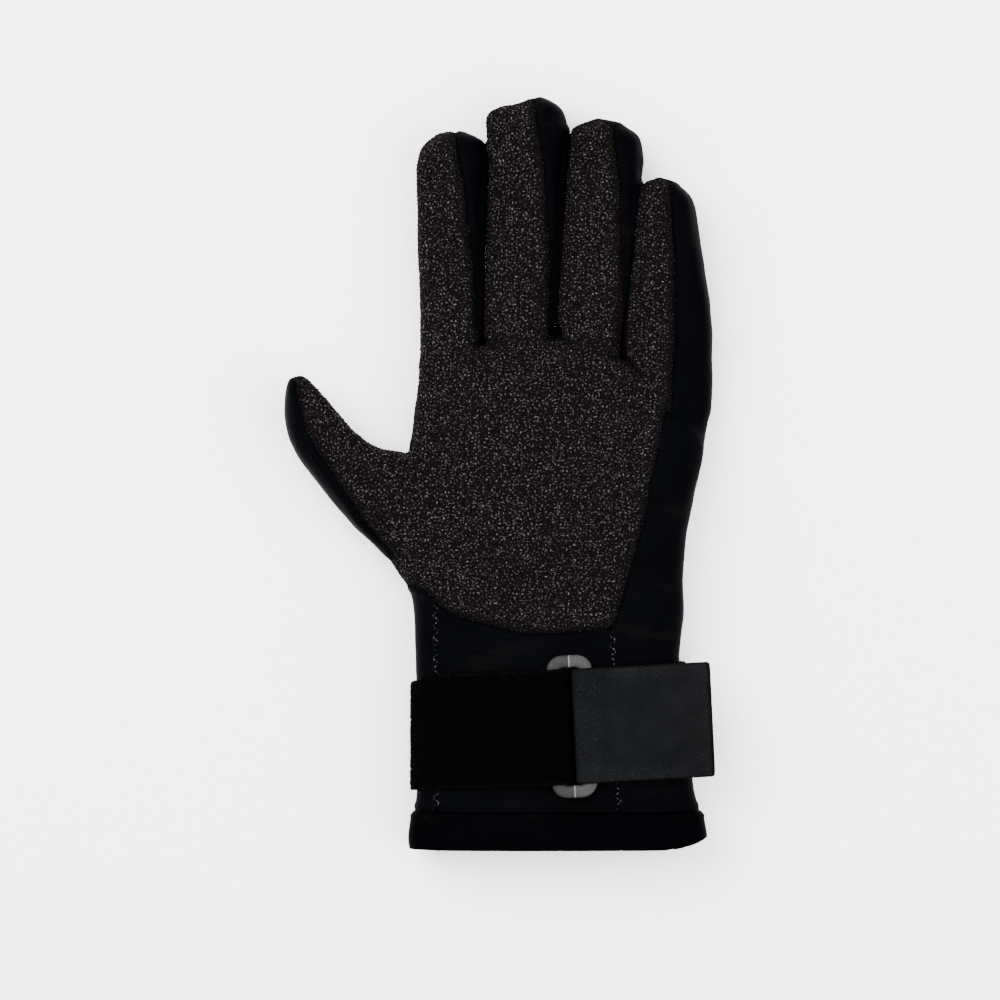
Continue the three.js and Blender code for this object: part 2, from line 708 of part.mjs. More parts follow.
function ringSolid() {
  const window = { half: RING_SLOT / 2, length: RING_WINDOW / 2 };
  const shape = roundedRectangle(
    new THREE.Shape(),
    window.half + RING_BAR,
    window.length + RING_BAR,
    RING_CORNER,
  );
  shape.holes.push(roundedRectangle(new THREE.Path(), window.half, window.length, RING_CORNER / 4));
  const geometry = new THREE.ExtrudeGeometry(shape, {
    depth: RING_THICKNESS - 2 * RING_BEVEL,
    bevelThickness: RING_BEVEL,
    bevelSize: RING_BEVEL,
    bevelOffset: -RING_BEVEL,
    bevelSegments: 1,
    curveSegments: 3,
  });
  const height = cuffSkin(0).front(0, UNDER + FOLD_RADIUS).y;
  geometry.translate(0, 0, RING_BEVEL - RING_THICKNESS / 2);
  geometry.rotateZ(radians(STRAP_TILT));
  geometry.translate(RING_SIDE, STRAP_UP, height);
  return solid(geometry);
}

// Materials
const knit = { color: 0x1c1819, roughness: 0.85, metalness: 0 };
const neoprene = { color: 0x08090c, roughness: 0.7, metalness: 0 };
const plush = { color: 0x030403, roughness: 0.95, metalness: 0 };
const hook = { color: 0x111214, roughness: 0.8, metalness: 0 };
const moulded = { color: 0x6b6c6e, roughness: 0.45, metalness: 0 };

function mesh(name, made, finish) {
  const { vertProperties, triVerts } = made.getMesh();
  const geometry = new THREE.BufferGeometry();
  geometry.setAttribute("position", new THREE.BufferAttribute(vertProperties, 3));
  geometry.setIndex(new THREE.BufferAttribute(triVerts, 1));
  const result = new THREE.Mesh(geometry, new THREE.MeshStandardMaterial({ ...finish, flatShading: true }));
  result.name = name;
  return result;
}

// Each panel takes its region out of what is left of the shell, and the back is what remains
const PANELS = [
  { name: "hem_band", region: hemRegion, finish: neoprene },
  { name: "palm_panel", region: palmRegion, finish: knit },
  ...fingers.slice(1).map((finger, i) => ({
    name: `fourchette_${fingers[i].name}_${finger.name}`,
    region: (grow) => gussetRegion(fingers[i], finger, grow),
    finish: neoprene,
  })),
  { name: "cuff_palm_panel", region: cuffPalmRegion, finish: neoprene },
];

const hand = new THREE.Group();
let rest = shell;
for (const panel of PANELS) {
  hand.add(mesh(panel.name, withoutSlivers(rest.intersect(panel.region(0))), panel.finish));
  rest = rest.subtract(panel.region(SEAM_GAP));
}
hand.add(mesh("back_shell", withoutSlivers(rest), neoprene));

const closure = new THREE.Group();
closure.add(
  mesh("wrist_strap", band(strapPath, STRAP_THICKNESS, STRAP_WIDTH), plush),
  mesh("hook_patch", band(hookPath, HOOK_THICKNESS, STRAP_WIDTH - 2 * HOOK_MARGIN), hook),
  mesh("strap_ring", ringSolid(), moulded),
);

// The origin is the middle of the glove's outline, on the table
const glove = new THREE.Group();
glove.add(hand, closure);
const box = new THREE.Box3().setFromObject(glove);
glove.position.set(-(box.min.x + box.max.x) / 2, -(box.min.y + box.max.y) / 2, -box.min.z);

export default glove;
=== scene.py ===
"""A left-hand diving glove, dressed: knit-armoured palm, smooth neoprene panels, plush strap and ring.

The shapes follow the same named sizes and tables as the part's solids. Sizes are in mm until a mesh is made.
"""
import math

import bmesh
import bpy
import numpy as np
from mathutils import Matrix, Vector, noise


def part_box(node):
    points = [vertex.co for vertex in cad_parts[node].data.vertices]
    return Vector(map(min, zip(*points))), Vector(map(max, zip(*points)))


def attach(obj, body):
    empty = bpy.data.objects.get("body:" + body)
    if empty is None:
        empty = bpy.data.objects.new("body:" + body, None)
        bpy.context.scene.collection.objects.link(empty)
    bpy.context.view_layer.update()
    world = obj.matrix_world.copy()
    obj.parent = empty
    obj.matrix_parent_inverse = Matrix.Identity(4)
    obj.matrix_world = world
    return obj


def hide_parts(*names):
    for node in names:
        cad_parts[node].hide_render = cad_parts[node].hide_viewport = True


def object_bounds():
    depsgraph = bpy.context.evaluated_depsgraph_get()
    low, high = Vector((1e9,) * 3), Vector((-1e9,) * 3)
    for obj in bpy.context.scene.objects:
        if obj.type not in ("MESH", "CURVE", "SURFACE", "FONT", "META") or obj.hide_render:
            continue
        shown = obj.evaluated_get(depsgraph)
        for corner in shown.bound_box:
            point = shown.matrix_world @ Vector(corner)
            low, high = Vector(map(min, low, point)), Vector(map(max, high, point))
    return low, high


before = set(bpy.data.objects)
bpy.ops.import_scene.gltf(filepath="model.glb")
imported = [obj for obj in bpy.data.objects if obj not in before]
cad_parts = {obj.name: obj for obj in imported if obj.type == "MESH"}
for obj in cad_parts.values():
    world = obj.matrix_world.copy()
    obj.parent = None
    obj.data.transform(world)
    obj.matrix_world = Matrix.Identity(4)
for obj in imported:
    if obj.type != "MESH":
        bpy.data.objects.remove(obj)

bl_info = {
    "name": "Diving Glove",
    "version": (1, 0, 0),
    "blender": (4, 5, 0),
    "location": "View3D > Sidebar > Glove",
    "description": "Builds the dressed diving glove on its CAD frame",
    "category": "Object",
}

MM = 0.001
SEED = 7
CAD_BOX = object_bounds()

# Sizes that the solids share
WALL = 3.5
CUFF_LENGTH = 92
CUFF_WIDTH = 104
CUFF_DEPTH = 30
HEM_HEIGHT = 16
HAND_LENGTH = 109
PALM_DEPTH = 33
PALM_MIDDLE = 0.5
WEB_BOW = 23
WEB_TOP = -0.15
FINGER_LENGTH = 94.5
FINGER_WIDTH = 26
FINGER_DEPTH = 21
FINGER_GAP = 0.6
FINGER_CURL = 6
ROOT_TWIST = 5
TIP_TWIST = 26
LIFT_POWER = 1.5
MEETING = 0.87
THUMB_LENGTH = 90
THUMB_WIDTH = 24
THUMB_DEPTH = 21
THUMB_CURL = 5
THUMB_TWIST = -15
THUMB_ROOT = (-0.728, 0.255)
STRAP_WIDTH = 45
STRAP_THICKNESS = 1.8
STRAP_GAP = 0.35
STRAP_TILT = math.radians(2.7)
STRAP_UP = 49.5
TAIL_REACH = 55
STUB_LENGTH = 20
HOOK_LENGTH = 19
HOOK_MARGIN = 3
HOOK_THICKNESS = 1
RING_SIDE = 6.7
RING_BAR = 5.6
RING_THICKNESS = 3.2
RING_SLACK = 0.5
RING_CORNER = 8
RING_TRIM = 0.8
EASE = 5
CUFF_POWER = 3.2
PALM_POWER = 2.8
LIMB_POWER = 2.7
REST_FLAT = 0.06
REST_RISE = STRAP_THICKNESS + STRAP_GAP

# Cuff: along CUFF_LENGTH, left and right in halves of CUFF_WIDTH, low in REST_RISE, high in CUFF_DEPTH
CUFF_ROWS = (
    ("along", "left", "right", "low", "high"),
    (0, 1.09, 1.12, 0, 1.03),
    (0.04, 1.105, 1.155, 0, 1.05),
    (0.165, 1.075, 1.12, 0, 1.03),
    (0.185, 1.05, 1.08, 0.9, 1),
    (0.255, 1.044, 1.048, 1, 1),
    (0.83, 1.044, 0.946, 1, 1),
)
# Hand: along HAND_LENGTH, left and right in halves of the knuckles, low and high in PALM_DEPTH, bow in
# WEB_BOW
HAND_ROWS = (
    ("along", "left", "right", "low", "high", "bow"),
    (0, 0.952, 0.876, 0.06, 0.99, 0),
    (0.13, 0.99, 0.874, 0.03, 1, 0),
    (0.3, 1.01, 0.9, 0, 1.03, 0),
    (0.45, 1.01, 0.955, 0, 1.03, 0),
    (0.58, 0.99, 1.01, 0, 1, 0.1),
    (0.7, 0.965, 1.027, 0, 0.96, 0.3),
    (0.82, 0.945, 1.034, 0, 0.9, 0.6),
    (0.92, 0.93, 1.045, 0.02, 0.82, 0.85),
    (1, 0.92, 1.05, 0.06, 0.74, 1),
)
# Limbs: along from the web to the tip, width and depth in the limb's own, and the knit's edge in halves
# of the width
FINGER_ROWS = (
    ("along", "width", "depth", "seam"),
    (-0.32, 0.8, 0.8, 0.95),
    (-0.14, 1, 1.02, 0.95),
    (-0.04, 1.04, 1.03, 0.95),
    (0.03, 0.965, 1.02, 0.92),
    (0.35, 1, 1, 0.88),
    (0.7, 1.07, 1, 0.7),
    (0.87, 1.12, 0.96, 0.5),
    (0.95, 0.99, 0.8, 0.45),
    (0.985, 0.76, 0.54, 0.45),
    (1, 0.46, 0.3, 0.45),
)
LITTLE_ROWS = (
    ("along", "width", "depth", "seam"),
    (-0.35, 1.1, 0.72, 0.12),
    (-0.1, 1.54, 1.02, 0.12),
    (0.08, 1.61, 1.12, 0.14),
    (0.15, 1.58, 1.1, 0.2),
    (0.3, 1.57, 1.08, 0.25),
    (0.42, 1.5, 1.05, 0.28),
    (0.57, 1.29, 1, 0.38),
    (0.75, 1.1, 0.98, 0.4),
    (0.9, 0.97, 0.9, 0.4),
    (0.955, 0.84, 0.76, 0.4),
    (0.988, 0.62, 0.54, 0.4),
    (1, 0.38, 0.3, 0.4),
)
THUMB_ROWS = (
    ("along", "width", "depth", "seam"),
    (0, 1.54, 1.2, -0.97),
    (0.36, 1.36, 1.25, -0.78),
    (0.54, 1.06, 1.1, -0.62),
    (0.62, 1, 1.04, -0.56),
    (0.73, 0.94, 1, -0.48),
    (0.8, 0.86, 0.94, -0.44),
    (0.87, 0.72, 0.82, -0.42),
    (0.94, 0.5, 0.6, -0.42),
    (0.98, 0.33, 0.42, -0.45),
    (1, 0.2, 0.25, -0.45),
)
# Fingers: root in the finger's own width, length, width and depth in the finger sizes, lift in
# FINGER_CURL, the height of the knit's left edge in halves of the depth, and the slant of the tip, up to
# the right
FINGER_TABLE = (
    ("name", "root", "length", "width", "depth", "lift", "side", "slant"),
    ("index", 1.02, 0.927, 0.96, 1, 0.5, -0.1, 0.1),
    ("middle", 0.99, 1, 1.09, 1.04, 0.65, 0.4, 0.06),
    ("ring", 0.99, 0.94, 1.06, 1, 0.8, 0.4, -0.15),
    ("little", 1.57, 0.864, 0.85, 0.95, 1.5, 0.4, -0.3),
)
SLANT_FROM = 0.6
# The thumb's middle line: out and up in THUMB_LENGTH, lift in THUMB_CURL
THUMB_LINE = (
    (0, 0, 0), (0.29, 0.22, 0), (0.43, 0.335, 0.3), (0.56, 0.48, 0.7), (0.62, 0.6, 0.9), (0.66, 0.73, 1))
# The knit's lower edge and its right-hand edge: side in halves of the knuckles, along in HAND_LENGTH
PALM_EDGE = (
    (-1.02, 0.14), (-0.867, 0.085), (-0.735, 0.024), (-0.52, -0.019), (-0.153, -0.06), (0.2, -0.05),
    (0.4, -0.035))
EDGE_SEAM = ((0.4, -0.035), (0.492, 0.125), (0.624, 0.388), (0.775, 0.8))
CUFF_SEAMS = (-0.892, 0.49, 0.424)
# Where the sewn skin is pulled off its lofts: at x and y, over a reach, by x and y
PULLS = (
    (-59.5, 154, 7, 0, 3),
    (-59.1, 109.3, 6, -1.5, -1.5),
    (-25.4, 288.5, 4.5, -2, 0.8),
    (-14.5, 294.5, 5, 0, -1.8),
    (12, 288, 4, 0.5, -0.6),
    (36.5, 284, 5, 1.2, 0.6),
    (64, 262.5, 5, 1.5, 1),
    (0.6, 203.5, 3, 0, 2.5),
)
GUSSET_LOW = -0.45
GUSSET_END = 0.93
GUSSET_FADE = (0.09, 0.03)

# The skin's lofts, in mm: where they start, their girths, and how a limb's rings close up at its tip
BELOW_MOUTH = -5.0
BODY_GIRTH = 262
LIMB_GIRTH = 78
TIP_FROM = 0.93
TIP_SHARE = 0.07
TIP_LENGTH = 12
TIP_POWER = 1.6
# The gap to the floor, and the lining's mesh size and gap
FLOOR_GAP = 0.02
LINING_STEP = 2.4
LINING_GAP = 0.3
# Softening: how near a crease counts, and how strongly and often points move towards their neighbours
CREASE_REACH = 0.18
CREASE_WEIGHT = 0.5
CREASE_ROUNDS = 45
SOFT_WEIGHT = 0.3
SOFT_ROUNDS = 3
# Cutting: what counts as zero, where on an edge a cut may lie, and how far a cut edge is drawn inwards
ZERO = 1e-5
CUT_SHARES = (0.02, 0.98)
LINE_ZERO = 1e-6
SHORTEST_LINE = 12
RIM_PULL = 0.1
# What lies lower than this gets no stitches, loops or tufts
OFF_FLOOR = 2

# How places along a limb are found: points at a time, share of a step taken, and where they end
BATCH = 20000
PLACE_STEP = 0.8
PLACE_LIMITS = (-0.2, 1.2)
ROOT_LIMIT = -0.4
ROOT_RISE = 10

# Seams, in mm: a norm as a length, a limb's share of the body, how far outlines reach past edges, and
# where the knit's lower side slopes down to the index finger
NORM_LENGTH = 10
BODY_SHARE = 0.25
PAST_EDGE = 5
WEB_EDGE = 1
CUFF_SEAM_REACH = 10
KNIT_SLOPE_UP = (40, 8)
KNIT_SLOPE_OUT = (0.6, 0.85)
# The cuff's mouth: its edge, and the curve that its little-finger side is cut back in
MOUTH_EDGE = 0.9
MOUTH_CURVE = 4.5
MOUTH_FROM = 36
MOUTH_REACH = 24

# Relief, in mm: the seams' widths, the soft lumps and the puckers beside the knit
DIP_WIDTH = 0.8
RIDGE_AT = 2.1
RIDGE_WIDTH = 1.0
LUMP_SCALE = 0.035
LUMP_GAIN = 1.6
PUCKER_SCALE = 0.32
PUCKER_REACH = 3.5
PUCKER_HEIGHT = 0.3
# The fingers' sides swell towards each other: their own norm, the gap, the body's norm, and what is left
SWELL_OWN = (1.05, 1.2)
SWELL_GAP = (2.2, 4.4)
SWELL_BODY = (0.97, 1.0)
SWELL_REST = 0.12
# The panels in the order that they are cut out, with how deep their seams are
PANELS = (
    ("hem_band", 0.8),
    ("palm_panel", 1),
    ("fourchette_index_middle", 0.6),
    ("fourchette_middle_ring", 0.6),
    ("fourchette_ring_little", 0.6),
    ("cuff_palm_panel", 0.5),
)
# How deep and how far inwards the steps of a turned-in edge go, at a seam and at the mouth
SEAM_RIM = ((0.35, 0.0), (1.0, 0.2), (2.2, 0.3))
HEM_RIM = ((0.35, 0), (0.7, 0.1), (1.0, 0.2), (1.4, 0.3), (1.8, 0.3), (2.2, 0.3))
MOUTH_RIM = ((0.5, -0.45), (1.2, -0.8), (2.2, -0.9), (3.1, -0.55), (3.7, 0.3), (3.9, 3.5))
# The zigzag's swing and period, how far inside the hem's edge and outside the knit's the other rows run
ZIGZAG_SWING = 1.35
ZIGZAG_PERIOD = 4.2
HEM_ROW = 2.4
OVERLOCK_ROW = 0.9

# Stage, in metres
FLOOR_HALF = 3
LIGHTS = (
    ("key", (-0.7, 0.6, 1.3), 1.2, 62),
    ("fill", (0.9, -0.3, 1.2), 1.4, 36),
    ("top", (0.0, 0.1, 1.9), 1.6, 44),
)
WORLD_LIGHT = 1.55
CAMERA_PLACE = (0.0004, -0.01, 2.202)
CAMERA_LENS = 200
CAMERA_SENSOR = 36
CAMERA_REACH = 20


def named_rows(table):
    """A table's rows as dicts by column name."""
    return [dict(zip(table[0], row)) for row in table[1:]]


def columns(rows, key="along", samples=400, soften=5):
    """A table's columns as smooth arrays over its length."""
    place = np.array([row[key] for row in rows], float)
    fine = np.linspace(place[0], place[-1], samples)
    reach = np.arange(-3 * soften, 3 * soften + 1)
    kernel = np.exp(-(reach / soften) ** 2 / 2)
    made = {key: fine}
    for name in rows[0]:
        if name == key:
            continue
        line = np.interp(fine, place, [row[name] for row in rows])
        padded = np.pad(line, len(reach) // 2, mode="reflect", reflect_type="odd")
        made[name] = np.convolve(padded, kernel / kernel.sum(), mode="valid")
    return made


def at(table, name, place, key="along"):
    return np.interp(place, table[key], table[name])


def superellipse(angle, half_width, half_depth, power):
    """Points of a rounded box at angles round it."""
    across, up = np.cos(angle), np.sin(angle)
    return (half_width * np.sign(across) * np.abs(across) ** (2 / power),
            half_depth * np.sign(up) * np.abs(up) ** (2 / power))


def even_superellipse(count, half_width, half_depth, power):
    """Points evenly spaced round a rounded box."""
    fine = np.linspace(0, 2 * np.pi, 2001)
    x, y = superellipse(fine, half_width, half_depth, power)
    length = np.concatenate([[0], np.cumsum(np.hypot(np.diff(x), np.diff(y)))])
    angles = np.interp((np.arange(count) + 0.5) / count * length[-1], length, fine)
    return superellipse(angles, half_width, half_depth, power)


def unit(vectors, least=1e-9):
    """Vectors of length one."""
    return vectors / np.maximum(np.linalg.norm(vectors, axis=-1, keepdims=True), least)


def smooth_step(x, low, high):
    t = np.clip((x - low) / (high - low), 0, 1)
    return t * t * (3 - 2 * t)


def spline(points, samples, centripetal=False):
    """A Catmull-Rom curve through points, evenly sampled by length."""
    points = np.array(points, float)
    ends = np.vstack([2 * points[0] - points[1], points, 2 * points[-1] - points[-2]])
    pieces = []
    for i in range(1, len(ends) - 2):
        p = ends[i - 1:i + 3]
        steps = np.linalg.norm(np.diff(p, axis=0), axis=1) ** (0.5 if centripetal else 0)
        t0, t1, t2, t3 = np.concatenate([[0], np.cumsum(steps)])
        t = np.linspace(t1, t2, 40, endpoint=i == len(ends) - 3)[:, None]
        a1 = (t1 - t) / (t1 - t0) * p[0] + (t - t0) / (t1 - t0) * p[1]
        a2 = (t2 - t) / (t2 - t1) * p[1] + (t - t1) / (t2 - t1) * p[2]
        a3 = (t3 - t) / (t3 - t2) * p[2] + (t - t2) / (t3 - t2) * p[3]
        b1 = (t2 - t) / (t2 - t0) * a1 + (t - t0) / (t2 - t0) * a2
        b2 = (t3 - t) / (t3 - t1) * a2 + (t - t1) / (t3 - t1) * a3
        pieces.append((t2 - t) / (t2 - t1) * b1 + (t - t1) / (t2 - t1) * b2)
    return resampled(np.vstack(pieces), samples)


def resampled(line, samples, by=None):
    """A line with its points evenly spaced by all its columns, or by the first few."""
    length = np.concatenate([[0], np.cumsum(np.linalg.norm(np.diff(line[:, :by], axis=0), axis=1))])
    places = np.linspace(0, length[-1], samples)
    return np.stack([np.interp(places, length, line[:, k]) for k in range(line.shape[1])], axis=1)


# The hand's driving places, as in the part's source
cuff_rows = named_rows(CUFF_ROWS)
hand_rows = named_rows(HAND_ROWS)
fingers = [
    {**row, "length": row["length"] * FINGER_LENGTH, "width": row["width"] * FINGER_WIDTH,
     "depth": row["depth"] * FINGER_DEPTH, "lift": row["lift"] * FINGER_CURL,
     "root_width": row["root"] * row["width"] * FINGER_WIDTH,
     "rows": columns(named_rows(LITTLE_ROWS if row["name"] == "little" else FINGER_ROWS))}
    for row in named_rows(FINGER_TABLE)
]
HALF_KNUCKLES = sum(finger["root_width"] for finger in fingers) / 2


def web_fall(x):
    return WEB_BOW * (x / HALF_KNUCKLES - WEB_TOP) ** 2


body_rows = [
    {"along": row["along"] * CUFF_LENGTH, "left": -row["left"] * CUFF_WIDTH / 2,
     "right": row["right"] * CUFF_WIDTH / 2, "low": row["low"] * REST_RISE,
     "high": REST_RISE + row["high"] * CUFF_DEPTH, "bow": 0, "power": CUFF_POWER}
    for row in cuff_rows
] + [
    {"along": CUFF_LENGTH + row["along"] * HAND_LENGTH, "left": -row["left"] * HALF_KNUCKLES,
     "right": row["right"] * HALF_KNUCKLES, "low": row["low"] * PALM_DEPTH, "high": row["high"] * PALM_DEPTH,
     "bow": row["bow"], "power": CUFF_POWER + (PALM_POWER - CUFF_POWER) * min(1, row["along"] * 2)}
    for row in hand_rows
]
BODY = columns(body_rows, samples=600, soften=4)


def pitch(first, second, rise, gap):
    """How far apart across two leaning sections lie that touch but for a gap."""
    half_width = (first[0] + second[0]) / 2
    half_depth = (first[1] + second[1]) / 2
    across = half_width
    for _ in range(4):
        angle = math.atan2(rise, across) - math.radians(TIP_TWIST)
        reach = (abs(math.cos(angle) / half_width) ** LIMB_POWER
                 + abs(math.sin(angle) / half_depth) ** LIMB_POWER) ** (-1 / LIMB_POWER)
        across = math.sqrt((reach + gap) ** 2 - rise ** 2)
    return across


def place_fingers():
    last = hand_rows[-1]
    height = (last["low"] + last["high"]) / 2 * PALM_DEPTH
    before = None
    for finger in fingers:
        if before is None:
            finger["root_x"] = -last["left"] * HALF_KNUCKLES + finger["root_width"] / 2
        else:
            finger["root_x"] = before["root_x"] + (before["root_width"] + finger["root_width"]) / 2
        finger["web"] = CUFF_LENGTH + HAND_LENGTH - web_fall(finger["root_x"])
        finger["tip_x"] = finger["root_x"]
        finger["height"] = height
        if before is not None:
            meet = min(one["web"] + one["length"] * MEETING for one in (before, finger))
            share = (meet - before["web"]) / before["length"]
            beside = before["root_x"] + (before["tip_x"] - before["root_x"]) * share
            sizes = []
            for one in (before, finger):
                along = (meet - one["web"]) / one["length"]
                sizes.append((at(one["rows"], "width", along) * one["width"],
                              at(one["rows"], "depth", along) * one["depth"]))
            needed = beside + pitch(sizes[0], sizes[1], finger["lift"] - before["lift"], FINGER_GAP)
            finger["tip_x"] = finger["root_x"] + (
                (needed - finger["root_x"]) * finger["length"] / (meet - finger["web"]))
        before = finger


place_fingers()
THUMB_START = np.array((THUMB_ROOT[0] * HALF_KNUCKLES, CUFF_LENGTH + THUMB_ROOT[1] * HAND_LENGTH,
                        PALM_MIDDLE * PALM_DEPTH))
THUMB_PATH = spline([THUMB_START + np.array((-out * THUMB_LENGTH, up * THUMB_LENGTH, lift * THUMB_CURL))
                     for out, up, lift in THUMB_LINE], 300, centripetal=True)
thumb = {"name": "thumb", "length": THUMB_LENGTH, "width": THUMB_WIDTH, "depth": THUMB_DEPTH, "slant": 0,
         "rows": columns(named_rows(THUMB_ROWS))}
limbs = fingers + [thumb]


def middle_line(limb, along):
    """Where a limb's middle is, and its twist, at places along it."""
    along = np.asarray(along, float)
    if limb is thumb:
        end = np.clip(along, 0, 1)
        places = np.linspace(0, 1, len(THUMB_PATH))
        point = np.stack([np.interp(end, places, THUMB_PATH[:, k]) for k in range(3)], axis=-1)
        step = THUMB_PATH[-1] - THUMB_PATH[-4]
        ahead = step / np.linalg.norm(step)
        point = point + (along - end)[..., None] * THUMB_LENGTH * ahead
        return point, np.radians(THUMB_TWIST) * end
    x = limb["root_x"] + (limb["tip_x"] - limb["root_x"]) * along
    z = limb["height"] + limb["lift"] * np.maximum(0, along) ** LIFT_POWER
    twist = np.radians(ROOT_TWIST + (TIP_TWIST - ROOT_TWIST) * np.clip(along, 0, 1))
    return np.stack([x, limb["web"] + limb["length"] * along, z], axis=-1), twist


def limb_frame(limb, along):
    """Middle, across and up directions of a limb's sections. Towards a slanting tip, across leans ahead."""
    centre, turn = middle_line(limb, along)
    ahead = middle_line(limb, np.asarray(along) + 0.01)[0] - middle_line(limb, np.asarray(along) - 0.01)[0]
    across = np.stack([ahead[..., 1], -ahead[..., 0], np.zeros_like(turn)], axis=-1)
    across, ahead = unit(across), unit(ahead)
    slant = limb["slant"] * np.maximum(0, (np.asarray(along) - SLANT_FROM) / (1 - SLANT_FROM))
    up = np.array((0.0, 0.0, 1.0))
    cos, sin = np.cos(turn)[..., None], np.sin(turn)[..., None]
    return centre, across * cos + up * sin + ahead * slant[..., None], up * cos - across * sin


def limb_place(limb, points):
    """Each point's place along the limb, and its u and v from the middle line."""
    if limb is thumb:
        flat = points[:, :2]
        best = np.zeros(len(points))
        for start in range(0, len(points), BATCH):
            some = flat[start:start + BATCH]
            gap = np.linalg.norm(some[:, None] - THUMB_PATH[None, ::3, :2], axis=2)
            best[start:start + BATCH] = np.argmin(gap, axis=1) * 3 / (len(THUMB_PATH) - 1)
        along = best
        for _ in range(3):
            centre = middle_line(limb, along)[0]
            ahead = middle_line(limb, along + 0.01)[0] - middle_line(limb, along - 0.01)[0]
            ahead[:, 2] = 0
            ahead = unit(ahead)
            along = along + np.einsum("ij,ij->i", points - centre, ahead) / THUMB_LENGTH * PLACE_STEP
            along = np.clip(along, *PLACE_LIMITS)
    else:
        step = np.array((limb["tip_x"] - limb["root_x"], limb["length"]))
        straight = (points[:, :2] - np.array((limb["root_x"], limb["web"]))) @ step / (step @ step)
        along = straight
        for _ in range(3):
            centre, across, up = limb_frame(limb, along)
            u = np.einsum("ij,ij->i", points - centre, across)
            slant = limb["slant"] * np.maximum(0, (along - SLANT_FROM) / (1 - SLANT_FROM))
            along = straight - slant * u / limb["length"]
    centre, across, up = limb_frame(limb, along)
    offset = points - centre
    u = np.einsum("ij,ij->i", offset, across) / np.einsum("ij,ij->i", across, across)
    v = np.einsum("ij,ij->i", offset, up)
    half_width = at(limb["rows"], "width", along) * limb["width"] / 2
    half_depth = at(limb["rows"], "depth", along) * limb["depth"] / 2
    norm = (np.abs(u / half_width) ** LIMB_POWER + np.abs(v / half_depth) ** LIMB_POWER) ** (1 / LIMB_POWER)
    past = np.maximum(0, along - 1) * limb["length"]
    return {"along": along, "u": u, "v": v, "half_width": half_width, "half_depth": half_depth,
            "norm": norm + past / NORM_LENGTH + np.maximum(0, ROOT_LIMIT - along) * ROOT_RISE}


def body_norm(points):
    """How far out of the body's sections each point is: 1 on the skin."""
    x, y, z = points.T
    place = y.copy()
    for _ in range(5):
        place = y + at(BODY, "bow", place) * web_fall(x)
    left, right = at(BODY, "left", place), at(BODY, "right", place)
    low, high = at(BODY, "low", place), at(BODY, "high", place)
    power = at(BODY, "power", place)
    u = np.abs(x - (left + right) / 2) / ((right - left) / 2)
    v = np.abs(z - (low + high) / 2) / ((high - low) / 2)
    end = np.maximum(0, place - CUFF_LENGTH - HAND_LENGTH)
    return (u ** power + v ** power) ** (1 / power) + end / NORM_LENGTH


# Lofts
def loft_mesh(rings, closing=(0.8, 0.6, 0.4, 0.2, 0.05), bulge=0.5):
    """Skins rings into a closed surface, whose ends close in smaller rings. Returns points and quads."""
    rings = [np.asarray(ring) for ring in rings]
    ends = []
    for ring, inner in ((rings[0], rings[1]), (rings[-1], rings[-2])):
        middle = ring.mean(axis=0)
        out = middle - inner.mean(axis=0)
        out /= max(np.linalg.norm(out), 1e-9)
        ends.append([middle + (ring - middle) * share + out * bulge * (1 - share ** 2) for share in closing])
    rings = ends[0][::-1] + rings + ends[1]
    size = len(rings[0])
    points = np.vstack(rings)
    ring_ids = np.arange(len(rings) * size).reshape(len(rings), size)
    a, b = ring_ids[:-1], np.roll(ring_ids[:-1], -1, axis=1)
    c, d = np.roll(ring_ids[1:], -1, axis=1), ring_ids[1:]
    quads = np.stack([a, d, c, b], axis=-1).reshape(-1, 4)
    caps = [list(ring_ids[0]), list(ring_ids[-1][::-1])]
    return points, [list(q) for q in quads] + caps


def body_loft(step, inset=0):
    """Cuff and palm as one loft, which starts below the mouth and is cut off there later."""
    top = CUFF_LENGTH + HAND_LENGTH
    places = np.linspace(BELOW_MOUTH, top, int((top - BELOW_MOUTH) / step))
    count = int(BODY_GIRTH / step)
    rings = []
    for place in places:
        left, right, low, high, bow, power = (
            float(at(BODY, name, place)) for name in ("left", "right", "low", "high", "bow", "power"))
        half_width, half_depth = (right - left) / 2 - inset, (high - low) / 2 - inset
        x, z = even_superellipse(count, half_width, half_depth, power)
        z = np.where(z < 0, np.maximum(z * (1 + REST_FLAT), -half_depth), z)
        x = x + (left + right) / 2
        back = inset * smooth_step(place, top - 20, top)
        rings.append(np.stack([x, place - back - bow * web_fall(x), z + (low + high) / 2], axis=1))
    return loft_mesh(rings, bulge=0)


def limb_loft(limb, step, inset=0):
    rows = limb["rows"]
    start = rows["along"][0]
    body = np.linspace(start, TIP_FROM, int(limb["length"] * (TIP_FROM - start) / step), endpoint=False)
    tip = 1 - TIP_SHARE * (1 - np.linspace(0, 1, int(TIP_LENGTH / step))) ** TIP_POWER
    count = int(LIMB_GIRTH / step)
    rings = []
    for place in np.concatenate([body, tip]):
        width, depth = at(rows, "width", place), at(rows, "depth", place)
        half_width = width * limb["width"] / 2 - inset * min(1, width)
        half_depth = depth * limb["depth"] / 2 - inset * min(1, depth)
        shifted = place * (1 - inset / limb["length"]) if place > 0 else place
        centre, across, up = limb_frame(limb, np.array(shifted))
        u, v = even_superellipse(count, half_width, half_depth, LIMB_POWER)
        rings.append(centre + u[:, None] * across + v[:, None] * up)
    return loft_mesh(rings)


def linked(name, data):
    """A new object in the scene, of a mesh, light or camera."""
    made = bpy.data.objects.new(name, data)
    bpy.context.scene.collection.objects.link(made)
    return made


def plain_object(name, points, faces):
    mesh = bpy.data.meshes.new(name)
    mesh.from_pydata(np.asarray(points).tolist(), [], faces)
    mesh.validate()
    return linked(name, mesh)


